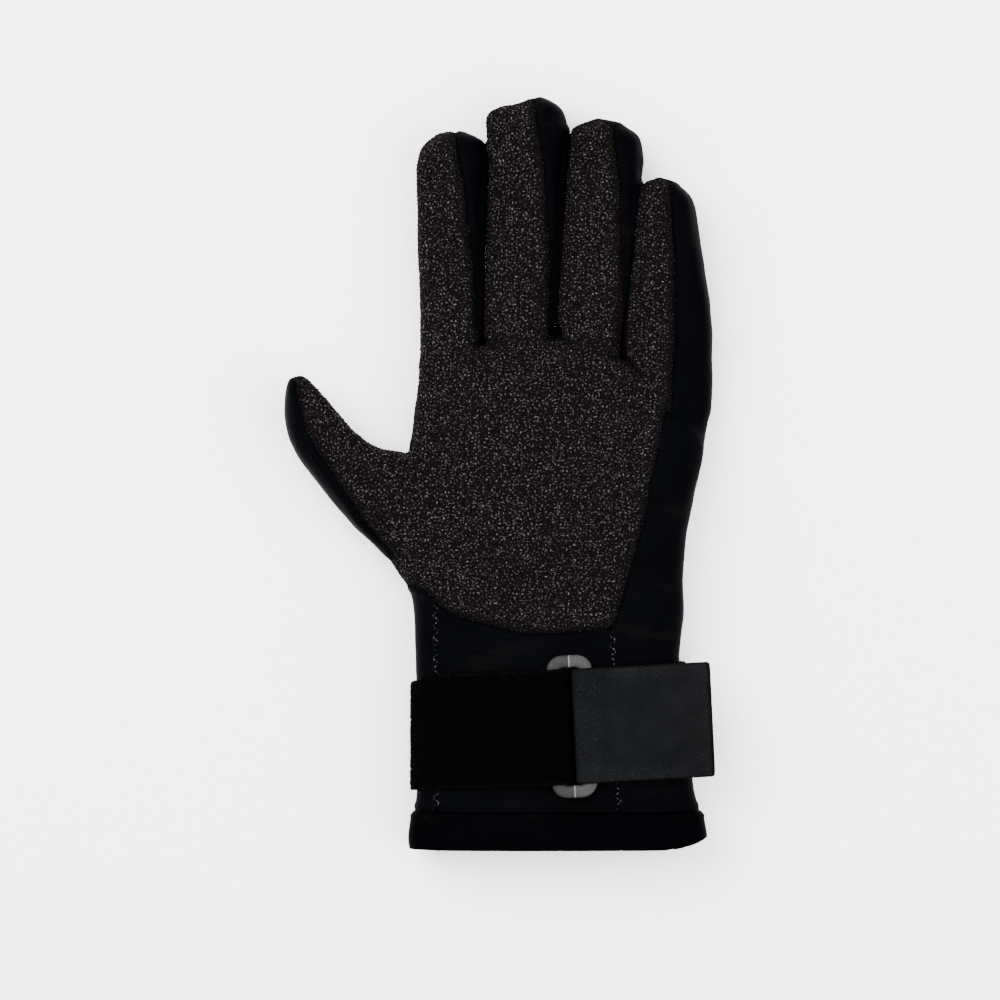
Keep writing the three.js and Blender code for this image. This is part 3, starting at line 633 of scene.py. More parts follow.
def union(parts):
    """Joins closed surfaces into one and returns its points and triangles."""
    made = [plain_object(f"scratch_{i}", *part) for i, part in enumerate(parts)]
    first = made[0]
    for other in made[1:]:
        cut = first.modifiers.new("join", "BOOLEAN")
        cut.operation = "UNION"
        cut.solver = "MANIFOLD"
        cut.object = other
    depsgraph = bpy.context.evaluated_depsgraph_get()
    evaluated = first.evaluated_get(depsgraph).to_mesh()
    evaluated.calc_loop_triangles()
    points = np.empty(len(evaluated.vertices) * 3)
    evaluated.vertices.foreach_get("co", points)
    triangles = np.empty(len(evaluated.loop_triangles) * 3, int)
    evaluated.loop_triangles.foreach_get("vertices", triangles)
    for one in made:
        bpy.data.objects.remove(one)
    return points.reshape(-1, 3), triangles.reshape(-1, 3)


def glove_loft(step, inset=0):
    """The cuff, the palm and the limbs as one closed surface."""
    return union([body_loft(step, inset)] + [limb_loft(limb, step, inset) for limb in limbs])


def directed(triangles):
    """Each triangle's three edges, in its own direction."""
    return np.vstack([triangles[:, [0, 1]], triangles[:, [1, 2]], triangles[:, [2, 0]]])


def relax(points, triangles, weight, rounds):
    """Moves points towards their neighbours' mean by a weight of their own."""
    edges = np.unique(np.sort(directed(triangles), axis=1), axis=0)
    count = np.bincount(edges.ravel(), minlength=len(points))[:, None]
    points = points.copy()
    for _ in range(rounds):
        total = np.stack([
            np.bincount(edges[:, 0], points[edges[:, 1], k], len(points))
            + np.bincount(edges[:, 1], points[edges[:, 0], k], len(points)) for k in range(3)], axis=1)
        points += weight[:, None] * (total / np.maximum(count, 1) - points)
    return points


def normals_of(points, triangles):
    a, b, c = (points[triangles[:, k]] for k in range(3))
    face = np.cross(b - a, c - a)
    total = np.zeros_like(points)
    for k in range(3):
        np.add.at(total, triangles[:, k], face)
    return unit(total, 1e-12)


# Seams, as fields in mm that are negative inside a panel
def polygon_distance(points, outline):
    """Signed distance in plan from a closed outline."""
    x, y = points[:, 0], points[:, 1]
    best = np.full(len(points), 1e9)
    inside = np.zeros(len(points), bool)
    for a, b in zip(outline, np.roll(outline, -1, axis=0)):
        edge = b - a
        share = np.clip(((x - a[0]) * edge[0] + (y - a[1]) * edge[1]) / max(edge @ edge, 1e-12), 0, 1)
        best = np.minimum(best, np.hypot(x - a[0] - share * edge[0], y - a[1] - share * edge[1]))
        crosses = (a[1] > y) != (b[1] > y)
        with np.errstate(divide="ignore", invalid="ignore"):
            side = x < (b[0] - a[0]) * (y - a[1]) / (b[1] - a[1]) + a[0]
        inside ^= crosses & side
    return np.where(inside, -best, best)


def seam_line(rows):
    return spline([(side * HALF_KNUCKLES, CUFF_LENGTH + along * HAND_LENGTH) for side, along in rows], 50)


def panel_fields(points):
    """Each panel's field at the points, and what the limbs say of them."""
    places = [limb_place(limb, points) for limb in limbs]
    norms = np.stack([place["norm"] for place in places])
    body = body_norm(points)
    z = points[:, 2]
    x, y = points[:, 0], points[:, 1]
    owns = []
    for i, place in enumerate(places):
        others = np.min(np.delete(norms, i, axis=0), axis=0)
        owns.append(np.maximum(place["norm"] - others, place["norm"] - body - BODY_SHARE) * NORM_LENGTH)
    lower, side = seam_line(PALM_EDGE), seam_line(EDGE_SEAM)
    web_x = np.linspace(side[-1, 0], -HALF_KNUCKLES - PAST_EDGE, 40)
    webs = np.stack([web_x, CUFF_LENGTH + HAND_LENGTH + WEB_EDGE - web_fall(web_x)], axis=1)
    left = np.array(((-HALF_KNUCKLES - PAST_EDGE, lower[0, 1]),))
    index = fingers[0]
    nearing = smooth_step(y, *(index["web"] - below for below in KNIT_SLOPE_UP))
    nearing = nearing * smooth_step(-x, *(share * HALF_KNUCKLES for share in KNIT_SLOPE_OUT))
    index_edge = index["height"] + index["side"] * index["depth"] / 2
    edge = PALM_MIDDLE * PALM_DEPTH * (1 - nearing) + index_edge * nearing
    hand = np.maximum(polygon_distance(points, np.vstack([lower, side, webs, left])), edge - z)
    palm = hand
    for finger, place, own in zip(fingers, places, owns):
        rows = finger["rows"]
        seam = at(rows, "seam", place["along"]) * place["half_width"]
        window = np.maximum(place["u"] - seam, finger["side"] * place["half_depth"] - place["v"])
        palm = np.minimum(palm, np.maximum(window, own))
    place = places[-1]
    seam = at(thumb["rows"], "seam", place["along"]) * place["half_width"]
    root = -place["along"] * THUMB_LENGTH
    palm = np.minimum(palm, np.maximum.reduce([seam - place["u"], -place["v"], owns[-1], root]))
    fields = {"hem_band": y - HEM_HEIGHT, "palm_panel": palm}
    for k in range(3):
        one, two = fingers[k], fingers[k + 1]
        sides = []
        for finger, place, own, sign in zip((one, two), places[k:], owns[k:], (-1, 1)):
            low = GUSSET_LOW * place["half_depth"] - place["v"]
            end = (place["along"] - GUSSET_END) * finger["length"]
            sides.append(np.maximum.reduce([sign * place["u"], low, end, own]))
        start = min(one["web"], two["web"]) - 3 * WALL
        stop = max(one["web"], two["web"]) + WALL
        half = one["depth"] / 2
        low, high = one["height"] + GUSSET_LOW * half, one["height"] + two["side"] * half
        web = np.maximum.reduce(
            [one["root_x"] - x, x - two["root_x"], start - y, y - stop, low - z, z - high])
        fields[f"fourchette_{one['name']}_{two['name']}"] = np.minimum.reduce([sides[0], sides[1], web])
    half = CUFF_WIDTH / 2
    top = CUFF_LENGTH + CUFF_SEAM_REACH
    right = half * (CUFF_SEAMS[1] + (CUFF_SEAMS[2] - CUFF_SEAMS[1]) * y / top)
    fields["cuff_palm_panel"] = np.maximum.reduce(
        [CUFF_SEAMS[0] * half - x, x - right, REST_RISE + CUFF_DEPTH / 2 - z, y - top])
    nearest = np.argmin(norms[:-1], axis=0)
    along = np.choose(nearest, [place["along"] for place in places[:-1]])
    fields["fade"] = smooth_step(along, *(GUSSET_END - before for before in GUSSET_FADE))
    return fields, norms, body


def mouth_edge(x):
    """Where the cuff's mouth ends: its little-finger side is cut back in a curve."""
    return MOUTH_EDGE + MOUTH_CURVE * np.maximum(0, (x - MOUTH_FROM) / MOUTH_REACH) ** 3


def crossed(triangles, value):
    """The triangles that a field's zero line crosses, led by the corner that is alone on its side, whether
    that corner is above, and which triangles they are."""
    sign = value[triangles] > 0
    mixed = sign.any(axis=1) & ~sign.all(axis=1)
    cut, above = triangles[mixed], sign[mixed]
    lone = np.where(above.sum(axis=1) == 1, np.argmax(above, axis=1), np.argmin(above, axis=1))
    cut = np.take_along_axis(cut, (lone[:, None] + np.arange(3)) % 3, axis=1)
    return cut, np.take_along_axis(above, lone[:, None], axis=1), mixed


def crossings(pairs, value):
    """The edges among pairs of corners, which of them each pair is, and where the field is zero on them."""
    edges, which = np.unique(np.sort(pairs, axis=1), axis=0, return_inverse=True)
    low, high = value[edges[:, 0]], value[edges[:, 1]]
    return edges, which.ravel(), low / (low - high)


def between(column, edges, share):
    """A column's values at shares along edges."""
    weight = share if column.ndim == 1 else share[:, None]
    return column[edges[:, 0]] * (1 - weight) + column[edges[:, 1]] * weight


def split(points, triangles, fields, extras, key):
    """Cuts the triangles along the line where a field is zero."""
    value = fields[key]
    value[np.abs(value) < ZERO] = ZERO
    cut, _, mixed = crossed(triangles, value)
    if not len(cut):
        return points, triangles
    edges, which, share = crossings(np.vstack([cut[:, [0, 1]], cut[:, [0, 2]]]), value)
    share = np.clip(share, *CUT_SHARES)
    first, second = (len(points) + which).reshape(2, -1)
    for store in (fields, extras):
        for name, column in store.items():
            store[name] = np.concatenate([column, between(column, edges, share)])
    fields[key][len(points):] = 0
    points = np.vstack([points, between(points, edges, share)])
    made = np.vstack([
        np.stack([cut[:, 0], first, second], axis=1),
        np.stack([first, cut[:, 1], cut[:, 2]], axis=1),
        np.stack([first, cut[:, 2], second], axis=1),
    ])
    return points, np.vstack([triangles[~mixed], made])


def border(triangles):
    """Directed edges that only one triangle has."""
    edges = directed(triangles)
    keys = np.sort(edges, axis=1)
    _, index, count = np.unique(keys, axis=0, return_index=True, return_counts=True)
    return edges[index[count == 1]]


def chains(edges):
    """Directed edges joined end to end, longest first."""
    after = {}
    for a, b in edges.tolist():
        after.setdefault(a, []).append(b)
    lines = []
    starts = set(after) - {b for _, b in edges.tolist()}
    order = sorted(starts) + sorted(after)
    for start in order:
        while after.get(start):
            line = [start]
            while after.get(line[-1]):
                line.append(after[line[-1]].pop())
                if line[-1] == start:
                    break
            lines.append(line)
    return sorted(lines, key=len, reverse=True)


# Set by main, once the frame's own places are known
SHIFT = None


def to_world(points):
    return (np.asarray(points) + SHIFT) * MM


def finished(name, points, faces, material, node=None, slot="neoprene"):
    """A piece from points in mm, declared, and in place of a CAD node if one is named."""
    made = plain_object(name, to_world(points), faces)
    made.data.materials.append(material)
    made.data.shade_smooth()
    declare(made, node)
    return made


def declare(made, node=None):
    """Says what a piece rides on, which CAD node it is in place of."""
    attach(made, "root")
    if node:
        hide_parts(*([node] if isinstance(node, str) else node))


def patch(name, points, normals, triangles, material, node, slot, rims, inset=None):
    """One panel: its triangles with its edges turned in, by steps that rims gives for its edge's points.
    inset is how far inside its edge each point lies."""
    used, local = np.unique(triangles, return_inverse=True)
    triangles = local.reshape(-1, 3)
    points, normals = points[used].copy(), normals[used]
    edges = border(triangles)
    rim = np.unique(edges)
    inward = np.zeros_like(points)
    for k in range(3):
        np.add.at(inward, triangles[:, k], points[triangles].mean(axis=1) - points[triangles[:, k]])
    inward -= np.einsum("ij,ij->i", inward, normals)[:, None] * normals
    inward = unit(inward)
    points[rim] += inward[rim] * RIM_PULL
    faces = triangles.tolist()
    back = np.full(len(points), -1)
    previous = {int(i): int(i) for i in rim}
    stacked = [points]
    count = len(points)
    for depth, along in rims(points[rim]):
        back[rim] = count + np.arange(len(rim))
        stacked.append(points[rim] - normals[rim] * depth[:, None] + inward[rim] * along[:, None])
        for a, b in edges.tolist():
            faces.append([previous[b], previous[a], int(back[a]), int(back[b])])
        previous = {int(i): int(back[i]) for i in rim}
        count += len(rim)
    made = finished(name, np.vstack(stacked), faces, material, node, slot=slot)
    if inset is not None:
        inside = np.zeros(count)
        inside[:len(used)] = inset[used]
        made.data.attributes.new("inset", "FLOAT", "POINT").data.foreach_set("value", inside)
    return made


def isolines(points, normals, triangles, value, where):
    """Lines on the skin where a value is zero, each as its places and normals."""
    value = np.where(np.abs(value) < LINE_ZERO, LINE_ZERO, value)
    cut, up, _ = crossed(triangles[where[triangles].all(axis=1)], value)
    one, other = cut[:, [0, 1]], cut[:, [0, 2]]
    edges, which, share = crossings(np.vstack([np.where(up, one, other), np.where(up, other, one)]), value)
    places, out = between(points, edges, share), between(normals, edges, share)
    lines = chains(which.reshape(2, -1).T)
    return [(places[line], out[line]) for line in lines if len(line) > SHORTEST_LINE]


# Filled while the skin is made: what kind of row, its places and its normals
SEAM_LINES = []


# Wrist strap, as in the part's source: paths are in the plane of x along the strap and z
RING_WINDOW = STRAP_WIDTH + 2 * RING_SLACK
FOLD_RADIUS = (RING_THICKNESS + STRAP_THICKNESS) / 2 + STRAP_GAP
RING_SLOT = 2 * FOLD_RADIUS + STRAP_THICKNESS + 2 * STRAP_GAP
UNDER = STRAP_GAP + STRAP_THICKNESS / 2
ON_STUB = UNDER + STRAP_THICKNESS + STRAP_GAP
ON_HOOK = ON_STUB + HOOK_THICKNESS + STRAP_GAP
FOLD_POINTS = 14
# The plush side ends, and the tail begins, at this point of the last fold
FOLD_SHARED = 8
# How far short of the ring the wrap round the cuff ends, as an angle
WRAP_SHORT = 0.12
# How far the strap's upper edge is drawn down, and from where to where along the strap
DRAWN_BY = 3.0
DRAWN_OVER = (50, 63)


class CuffSkin:
    """The cuff's outline seen from the ring, at a place across the strap."""

    def __init__(self, across):
        def row(name, x):
            place = STRAP_UP + across * math.cos(STRAP_TILT) + x * math.sin(STRAP_TILT)
            return float(at(BODY, name, place))
        shift = across * math.sin(STRAP_TILT) - RING_SIDE
        left = row("left", -CUFF_WIDTH / 2) + shift
        right = row("right", CUFF_WIDTH / 2) + shift
        low, high = row("low", 0), row("high", 0)
        self.half = np.array(((right - left) / 2, (high - low) / 2))
        self.middle = np.array(((right + left) / 2, (high + low) / 2))
        self.power = row("power", 0)

    def at(self, angle, height):
        angle = np.asarray(angle, float)
        x, y = superellipse(angle, self.half[0], self.half[1], self.power)
        nx = np.sign(x) * np.abs(x / self.half[0]) ** (self.power - 1) / self.half[0]
        ny = np.sign(y) * np.abs(y / self.half[1]) ** (self.power - 1) / self.half[1]
        size = np.hypot(nx, ny)
        y = np.where(y < 0, np.maximum(y * (1 + REST_FLAT), -self.half[1]), y)
        x = x + nx / size * height
        y = np.maximum(y + ny / size * height, -self.half[1] - height)
        return np.stack([x, y], axis=-1) + self.middle

    def angle_at(self, x):
        offset = (np.asarray(x, float) - self.middle[0]) / self.half[0]
        return np.arccos(np.sign(offset) * np.abs(offset) ** (self.power / 2))

    def front(self, x, height):
        return self.at(self.angle_at(x), height)


def fold(x, z, side):
    """Half a turn round a bar of the ring."""
    angle = np.pi * (np.linspace(0, 1, FOLD_POINTS) - 0.5)
    return np.stack([x + side * FOLD_RADIUS * np.cos(angle), z + FOLD_RADIUS * np.sin(angle)], axis=1)


def strap_path(across):
    """The strap's middle line from its sewn stub to the fold at the ring's right bar, then the tail's."""
    skin = CuffSkin(across)
    inner = RING_SLOT / 2
    outer = inner + RING_BAR
    high = skin.front(0, UNDER + FOLD_RADIUS)[1]
    stub_end = -inner - STUB_LENGTH
    middle = CuffSkin(0)
    start = float(middle.angle_at(stub_end - EASE))
    stop = float(middle.angle_at(inner)) + 2 * np.pi
    wrap = [
        skin.front(np.linspace(stub_end, -outer, 12), UNDER),
        fold(-inner, high, 1),
        np.array([(-outer, high + FOLD_RADIUS)]),
        skin.front(np.linspace(-outer - EASE, stub_end, 8), ON_STUB),
        skin.at(np.linspace(start, stop - WRAP_SHORT, 150), UNDER),
        fold(inner, high, -1)[:FOLD_SHARED],
    ]
    held = skin.front(np.linspace(outer + EASE, outer + EASE + HOOK_LENGTH, 8), ON_HOOK)
    slope = (held[-1, 1] - held[-2, 1]) / (held[-1, 0] - held[-2, 0])
    tail = [
        fold(inner, high, -1)[FOLD_SHARED:],
        np.array([(outer, high + FOLD_RADIUS)]),
        held,
        np.array([(TAIL_REACH, held[-1, 1] + slope * (TAIL_REACH - held[-1, 0]))]),
    ]
    return np.vstack(wrap), np.vstack(tail)


def hook_path(across):
    start = RING_SLOT / 2 + RING_BAR + EASE
    height = ON_STUB + (HOOK_THICKNESS - STRAP_THICKNESS) / 2
    return CuffSkin(across).front(np.linspace(start, start + HOOK_LENGTH, 12), height)


def drawn_in(x, across):
    """How far the strap's upper edge is drawn down where it turns round the cuff's left edge."""
    return DRAWN_BY * np.maximum(0, across / (STRAP_WIDTH / 2)) ** 3 * smooth_step(-x, *DRAWN_OVER)


def band(path_at, thickness, width, step=1.0, corner=1.5):
    """A strip with rounded edges, led along a path that is worked out anew across it."""
    radius = thickness / 2
    flat = np.linspace(-1, 1, 19) * (width / 2 - radius)
    turn = np.linspace(-np.pi / 2, np.pi / 2, 7)[1:-1]
    section = [(a, radius) for a in flat]
    section += [(width / 2 - radius + radius * math.cos(t), radius * math.sin(t)) for t in turn[::-1]]
    section += [(a, -radius) for a in flat[::-1]]
    section += [(-width / 2 + radius - radius * math.cos(t), radius * math.sin(t)) for t in turn]
    paths = {}
    for across, _ in section:
        if across not in paths:
            line = path_at(across)
            length = np.linalg.norm(np.diff(line, axis=0), axis=1).sum()
            line = resampled(line, int(length / step))
            for _ in range(3):
                line[1:-1] = (line[:-2] + 2 * line[1:-1] + line[2:]) / 4
            ahead = unit(np.gradient(line, axis=0))
            paths[across] = (line, np.stack([-ahead[:, 1], ahead[:, 0]], axis=1))
    count = min(len(line) for line, _ in paths.values())
    rings = []
    for across, up in section:
        line, normal = paths[across]
        take = np.round(np.linspace(0, len(line) - 1, count)).astype(int)
        line, normal = line[take], normal[take]
        place = line + normal * up
        share = np.clip((np.abs(across) - (width / 2 - corner)) / corner, 0, 1)
        rounding = corner * (1 - np.sqrt(np.clip(1 - share ** 2, 0, 1)))
        ahead = unit(np.gradient(line, axis=0))
        place[-1] -= ahead[-1] * rounding
        x, z = place.T
        level = across - drawn_in(x, across)
        rings.append(np.stack([
            RING_SIDE + x * math.cos(STRAP_TILT) - level * math.sin(STRAP_TILT),
            STRAP_UP + x * math.sin(STRAP_TILT) + level * math.cos(STRAP_TILT), np.maximum(z, FLOOR_GAP)],
            axis=1))
    rings = np.stack(rings, axis=1)
    return loft_mesh(list(rings), closing=(0.995, 0.9), bulge=0.3)


def ring_mesh():
    """The moulded ring: a round-edged frame, as its points and faces."""
    half = (RING_SLOT / 2, RING_WINDOW / 2)
    outer = rounded_rectangle(*(one + RING_BAR - RING_TRIM for one in half), RING_CORNER * 0.75)
    inner = rounded_rectangle(*half, RING_CORNER / 4)
    thick = RING_THICKNESS / 2
    profile = []
    for angle in np.linspace(0, 2 * np.pi, 24, endpoint=False):
        u, v = superellipse(np.array(angle), 0.5, thick, 3)
        profile.append((0.5 + float(u), float(v)))
    rings = []
    for share, z in profile:
        flat = inner + (outer - inner) * share
        rings.append(np.column_stack([flat, np.full(len(flat), z)]))
    rings = np.stack(rings)
    high = CuffSkin(0).front(0, UNDER + FOLD_RADIUS)[1]
    cos, sin = math.cos(STRAP_TILT), math.sin(STRAP_TILT)
    x, y, z = rings[..., 0], rings[..., 1], rings[..., 2]
    points = np.stack([RING_SIDE + x * cos - y * sin, STRAP_UP + x * sin + y * cos, z + high], axis=-1)
    size = rings.shape[:2]
    ids = np.arange(size[0] * size[1]).reshape(size)
    a, b = ids, np.roll(ids, -1, axis=1)
    c, d = np.roll(b, -1, axis=0), np.roll(ids, -1, axis=0)
    return points.reshape(-1, 3), np.stack([a, b, c, d], axis=-1).reshape(-1, 4).tolist()


def rounded_rectangle(half_x, half_y, radius, arc=8, straight=14):
    """Points round a rounded rectangle, as many for every size."""
    points = []
    for k, (sx, sy) in enumerate(((1, 1), (-1, 1), (-1, -1), (1, -1))):
        centre = np.array((sx * (half_x - radius), sy * (half_y - radius)))
        for t in np.linspace(0, math.pi / 2, arc):
            angle = t + k * math.pi / 2
            points.append(centre + radius * np.array((math.cos(angle), math.sin(angle))))
        nx, ny = ((-1, 1), (-1, -1), (1, -1), (1, 1))[k]
        following = np.array((nx * (half_x - radius), ny * (half_y - radius)))
        after = (k + 1) * math.pi / 2
        start = points[-1]
        stop = following + radius * np.array((math.cos(after), math.sin(after)))
        points += [start + (stop - start) * s for s in np.linspace(0, 1, straight + 2)[1:-1]]
    return np.array(points)


# Threads, loops and tufts, repeated by geometry nodes
class Repeats:
    """A geometry node group that sets small rounded shapes on points, with named inputs."""

    def __init__(self, name, inputs):
        self.group = bpy.data.node_groups.new(name, "GeometryNodeTree")
        self.group.is_modifier = True
        rows = self.group.interface
        rows.new_socket("Geometry", in_out="INPUT", socket_type="NodeSocketGeometry")
        self.identifiers = {}
        for key, kind in inputs:
            self.identifiers[key] = rows.new_socket(key, in_out="INPUT", socket_type=kind).identifier
        rows.new_socket("Geometry", in_out="OUTPUT", socket_type="NodeSocketGeometry")
        self.start = self.node("NodeGroupInput").outputs
        self.end = self.node("NodeGroupOutput")

    def node(self, kind, settings=None, **inputs):
        made = self.group.nodes.new(kind)
        for key, value in (settings or {}).items():
            setattr(made, key, value)
        for key, value in inputs.items():
            feed(self.group, made.inputs[key.replace("_", " ")], value)
        return made

    def chance(self, low, high, salt):
        """A number drawn for each point."""
        made = self.node("FunctionNodeRandomValue", {"data_type": "FLOAT"})
        seed = self.node("ShaderNodeMath", {"operation": "ADD"})
        feed(self.group, seed.inputs[0], self.start["Seed"])
        feed(self.group, seed.inputs[1], salt)
        for place, value in ((2, low), (3, high), (8, seed.outputs[0])):
            feed(self.group, made.inputs[place], value)
        return made.outputs[1]

    def finish(self, points, rotation):
        """Sets a rounded shape on each point, of the group's sizes, and makes them real."""
        bead = self.node("GeometryNodeMeshIcoSphere", Radius=0.5, Subdivisions=1)
        grown = self.node("ShaderNodeVectorMath", {"operation": "SCALE"})
        size = self.node("ShaderNodeCombineXYZ", X=self.start["Length"], Y=self.start["Width"],
                         Z=self.start["Height"])
        feed(self.group, grown.inputs[0], size.outputs[0])
        feed(self.group, grown.inputs["Scale"], self.chance(0.7, 1.3, 1))
        placed = self.node("GeometryNodeInstanceOnPoints", Points=points, Instance=bead.outputs["Mesh"],
                           Rotation=rotation, Scale=grown.outputs[0])
        shaded = self.node("GeometryNodeStoreNamedAttribute", {"data_type": "FLOAT", "domain": "INSTANCE"},
                           Geometry=placed.outputs[0], Name="shade", Value=self.chance(0.0, 1.0, 2))
        real = self.node("GeometryNodeRealizeInstances", Geometry=shaded.outputs[0])
        smooth = self.node("GeometryNodeSetShadeSmooth", Geometry=real.outputs[0])
        coated = self.node("GeometryNodeSetMaterial", Geometry=smooth.outputs[0],
                           Material=self.start["Material"])
        feed(self.group, self.end.inputs[0], coated.outputs[0])
        return self


COMMON = [(key, "NodeSocketFloat") for key in ("Length", "Width", "Height")]
COMMON += [("Seed", "NodeSocketInt"), ("Material", "NodeSocketMaterial")]


def scattered_repeats(name, lean):
    """Shapes spread over a surface, a spacing apart, each turned its own way and leaning by up to lean."""
    made = Repeats(name, COMMON + [("Spacing", "NodeSocketFloat"), ("Density", "NodeSocketFloat")])
    spread = made.node("GeometryNodeDistributePointsOnFaces", {"distribute_method": "POISSON"},
                       Mesh=made.start["Geometry"], Distance_Min=made.start["Spacing"],
                       Density_Max=made.start["Density"], Seed=made.start["Seed"])
    turn = made.node("ShaderNodeCombineXYZ", X=made.chance(-lean, lean, 3), Y=made.chance(-lean, lean, 4),
                     Z=made.chance(0.0, 2 * math.pi, 5))
    by = made.node("FunctionNodeEulerToRotation", Euler=turn.outputs[0])
    turned = made.node("FunctionNodeRotateRotation", {"rotation_space": "LOCAL"},
                       Rotation=spread.outputs["Rotation"], Rotate_By=by.outputs[0])
    return made.finish(spread.outputs["Points"], turned.outputs[0])


def sewn_repeats(name):
    """Shapes on given points, which lie along and stand out as the points say."""
    made = Repeats(name, COMMON)
    points = made.node("GeometryNodeMeshToPoints", Mesh=made.start["Geometry"])
    rotation = None
    for key, axis, pivot in (("along", "X", "AUTO"), ("out", "Z", "X")):
        vector = made.node("GeometryNodeInputNamedAttribute", {"data_type": "FLOAT_VECTOR"}, Name=key)
        turned = made.node("FunctionNodeAlignRotationToVector", {"axis": axis, "pivot_axis": pivot},
                           Vector=vector.outputs[0])
        if rotation:
            feed(made.group, turned.inputs["Rotation"], rotation)
        rotation = turned.outputs[0]
    return made.finish(points.outputs[0], rotation)


def repeated(made, repeats, slot, **values):
    modifier = made.modifiers.new("repeats", "NODES")
    modifier.node_group = repeats.group
    for key, value in {"Seed": SEED, **values}.items():
        modifier[repeats.identifiers[key]] = value
    before = made.data
    mesh = bpy.data.meshes.new_from_object(made.evaluated_get(bpy.context.evaluated_depsgraph_get()))
    made.modifiers.remove(modifier)
    made.data = mesh
    bpy.data.meshes.remove(before)
    declare(made)
    return made


def copy_of(name, source):
    """A piece with another's mesh, without what lies on the floor, on which repeats are spread."""
    made = linked(name, bpy.data.objects[source].data.copy())
    work = bmesh.new()
    work.from_mesh(made.data)
    low = [face for face in work.faces if face.calc_center_median().z < OFF_FLOOR * MM]
    bmesh.ops.delete(work, geom=low, context="FACES")
    work.to_mesh(made.data)
    work.free()
    return made


def sewn_points(name, rows):
    """A piece of bare points with the directions that stitches take from them."""
    places, along, out = (np.vstack([row[k] for row in rows]) for k in range(3))
    made = plain_object(name, to_world(places), [])
    for key, value in (("along", along), ("out", out)):
        made.data.attributes.new(key, "FLOAT_VECTOR", "POINT").data.foreach_set("vector", value.ravel())
    return made


def stitches(line, out, pitch, swing=0.0, period=1.0, across=False, lift=0.1):
    """Where stitches lie along a line on the skin: places, directions and normals."""
    line = np.hstack([line, out])
    length = np.linalg.norm(np.diff(line[:, :3], axis=0), axis=1).sum()
    fine = resampled(line, max(4, int(length / 0.3)), 3)
    for _ in range(12):
        fine[1:-1] = (fine[:-2] + 2 * fine[1:-1] + fine[2:]) / 4
    place, normal = fine[:, :3], fine[:, 3:]
    ahead = np.gradient(place, axis=0)
    side = unit(np.cross(normal, ahead))
    run = np.linspace(0, length, len(fine))
    swung = swing * (2 * np.abs(2 * (run / period % 1) - 1) - 1)
    path = np.hstack([place + side * swung[:, None] + normal * lift, normal, side])
    span = np.linalg.norm(np.diff(path[:, :3], axis=0), axis=1).sum()
    path = resampled(path, max(2, int(span / pitch)), 3)
    ahead = path[:, 6:] if across else np.gradient(path[:, :3], axis=0)
    return path[:, :3], unit(ahead), path[:, 3:6]


# Materials
class Number:
    """A shader number, which sums are written with."""

    def __init__(self, tree, socket):
        self.tree = tree
        self.socket = socket

    def _math(self, operation, *values):
        node = self.tree.nodes.new("ShaderNodeMath")
        node.operation = operation
        for place, value in zip(node.inputs, values):
            feed(self.tree, place, value)
        return Number(self.tree, node.outputs[0])

    def __add__(self, other):
        return self._math("ADD", self, other)

    def __sub__(self, other):
        return self._math("SUBTRACT", self, other)

    def __mul__(self, other):
        return self._math("MULTIPLY", self, other)

    def sin(self):
        return self._math("SINE", self)

    def most(self, other):
        return self._math("MAXIMUM", self, other)

    def size(self):
        return self._math("ABSOLUTE", self)


def feed(tree, place, value):
    if isinstance(value, Number):
        tree.links.new(value.socket, place)
    elif hasattr(value, "is_linked"):
        tree.links.new(value, place)
    else:
        place.default_value = value


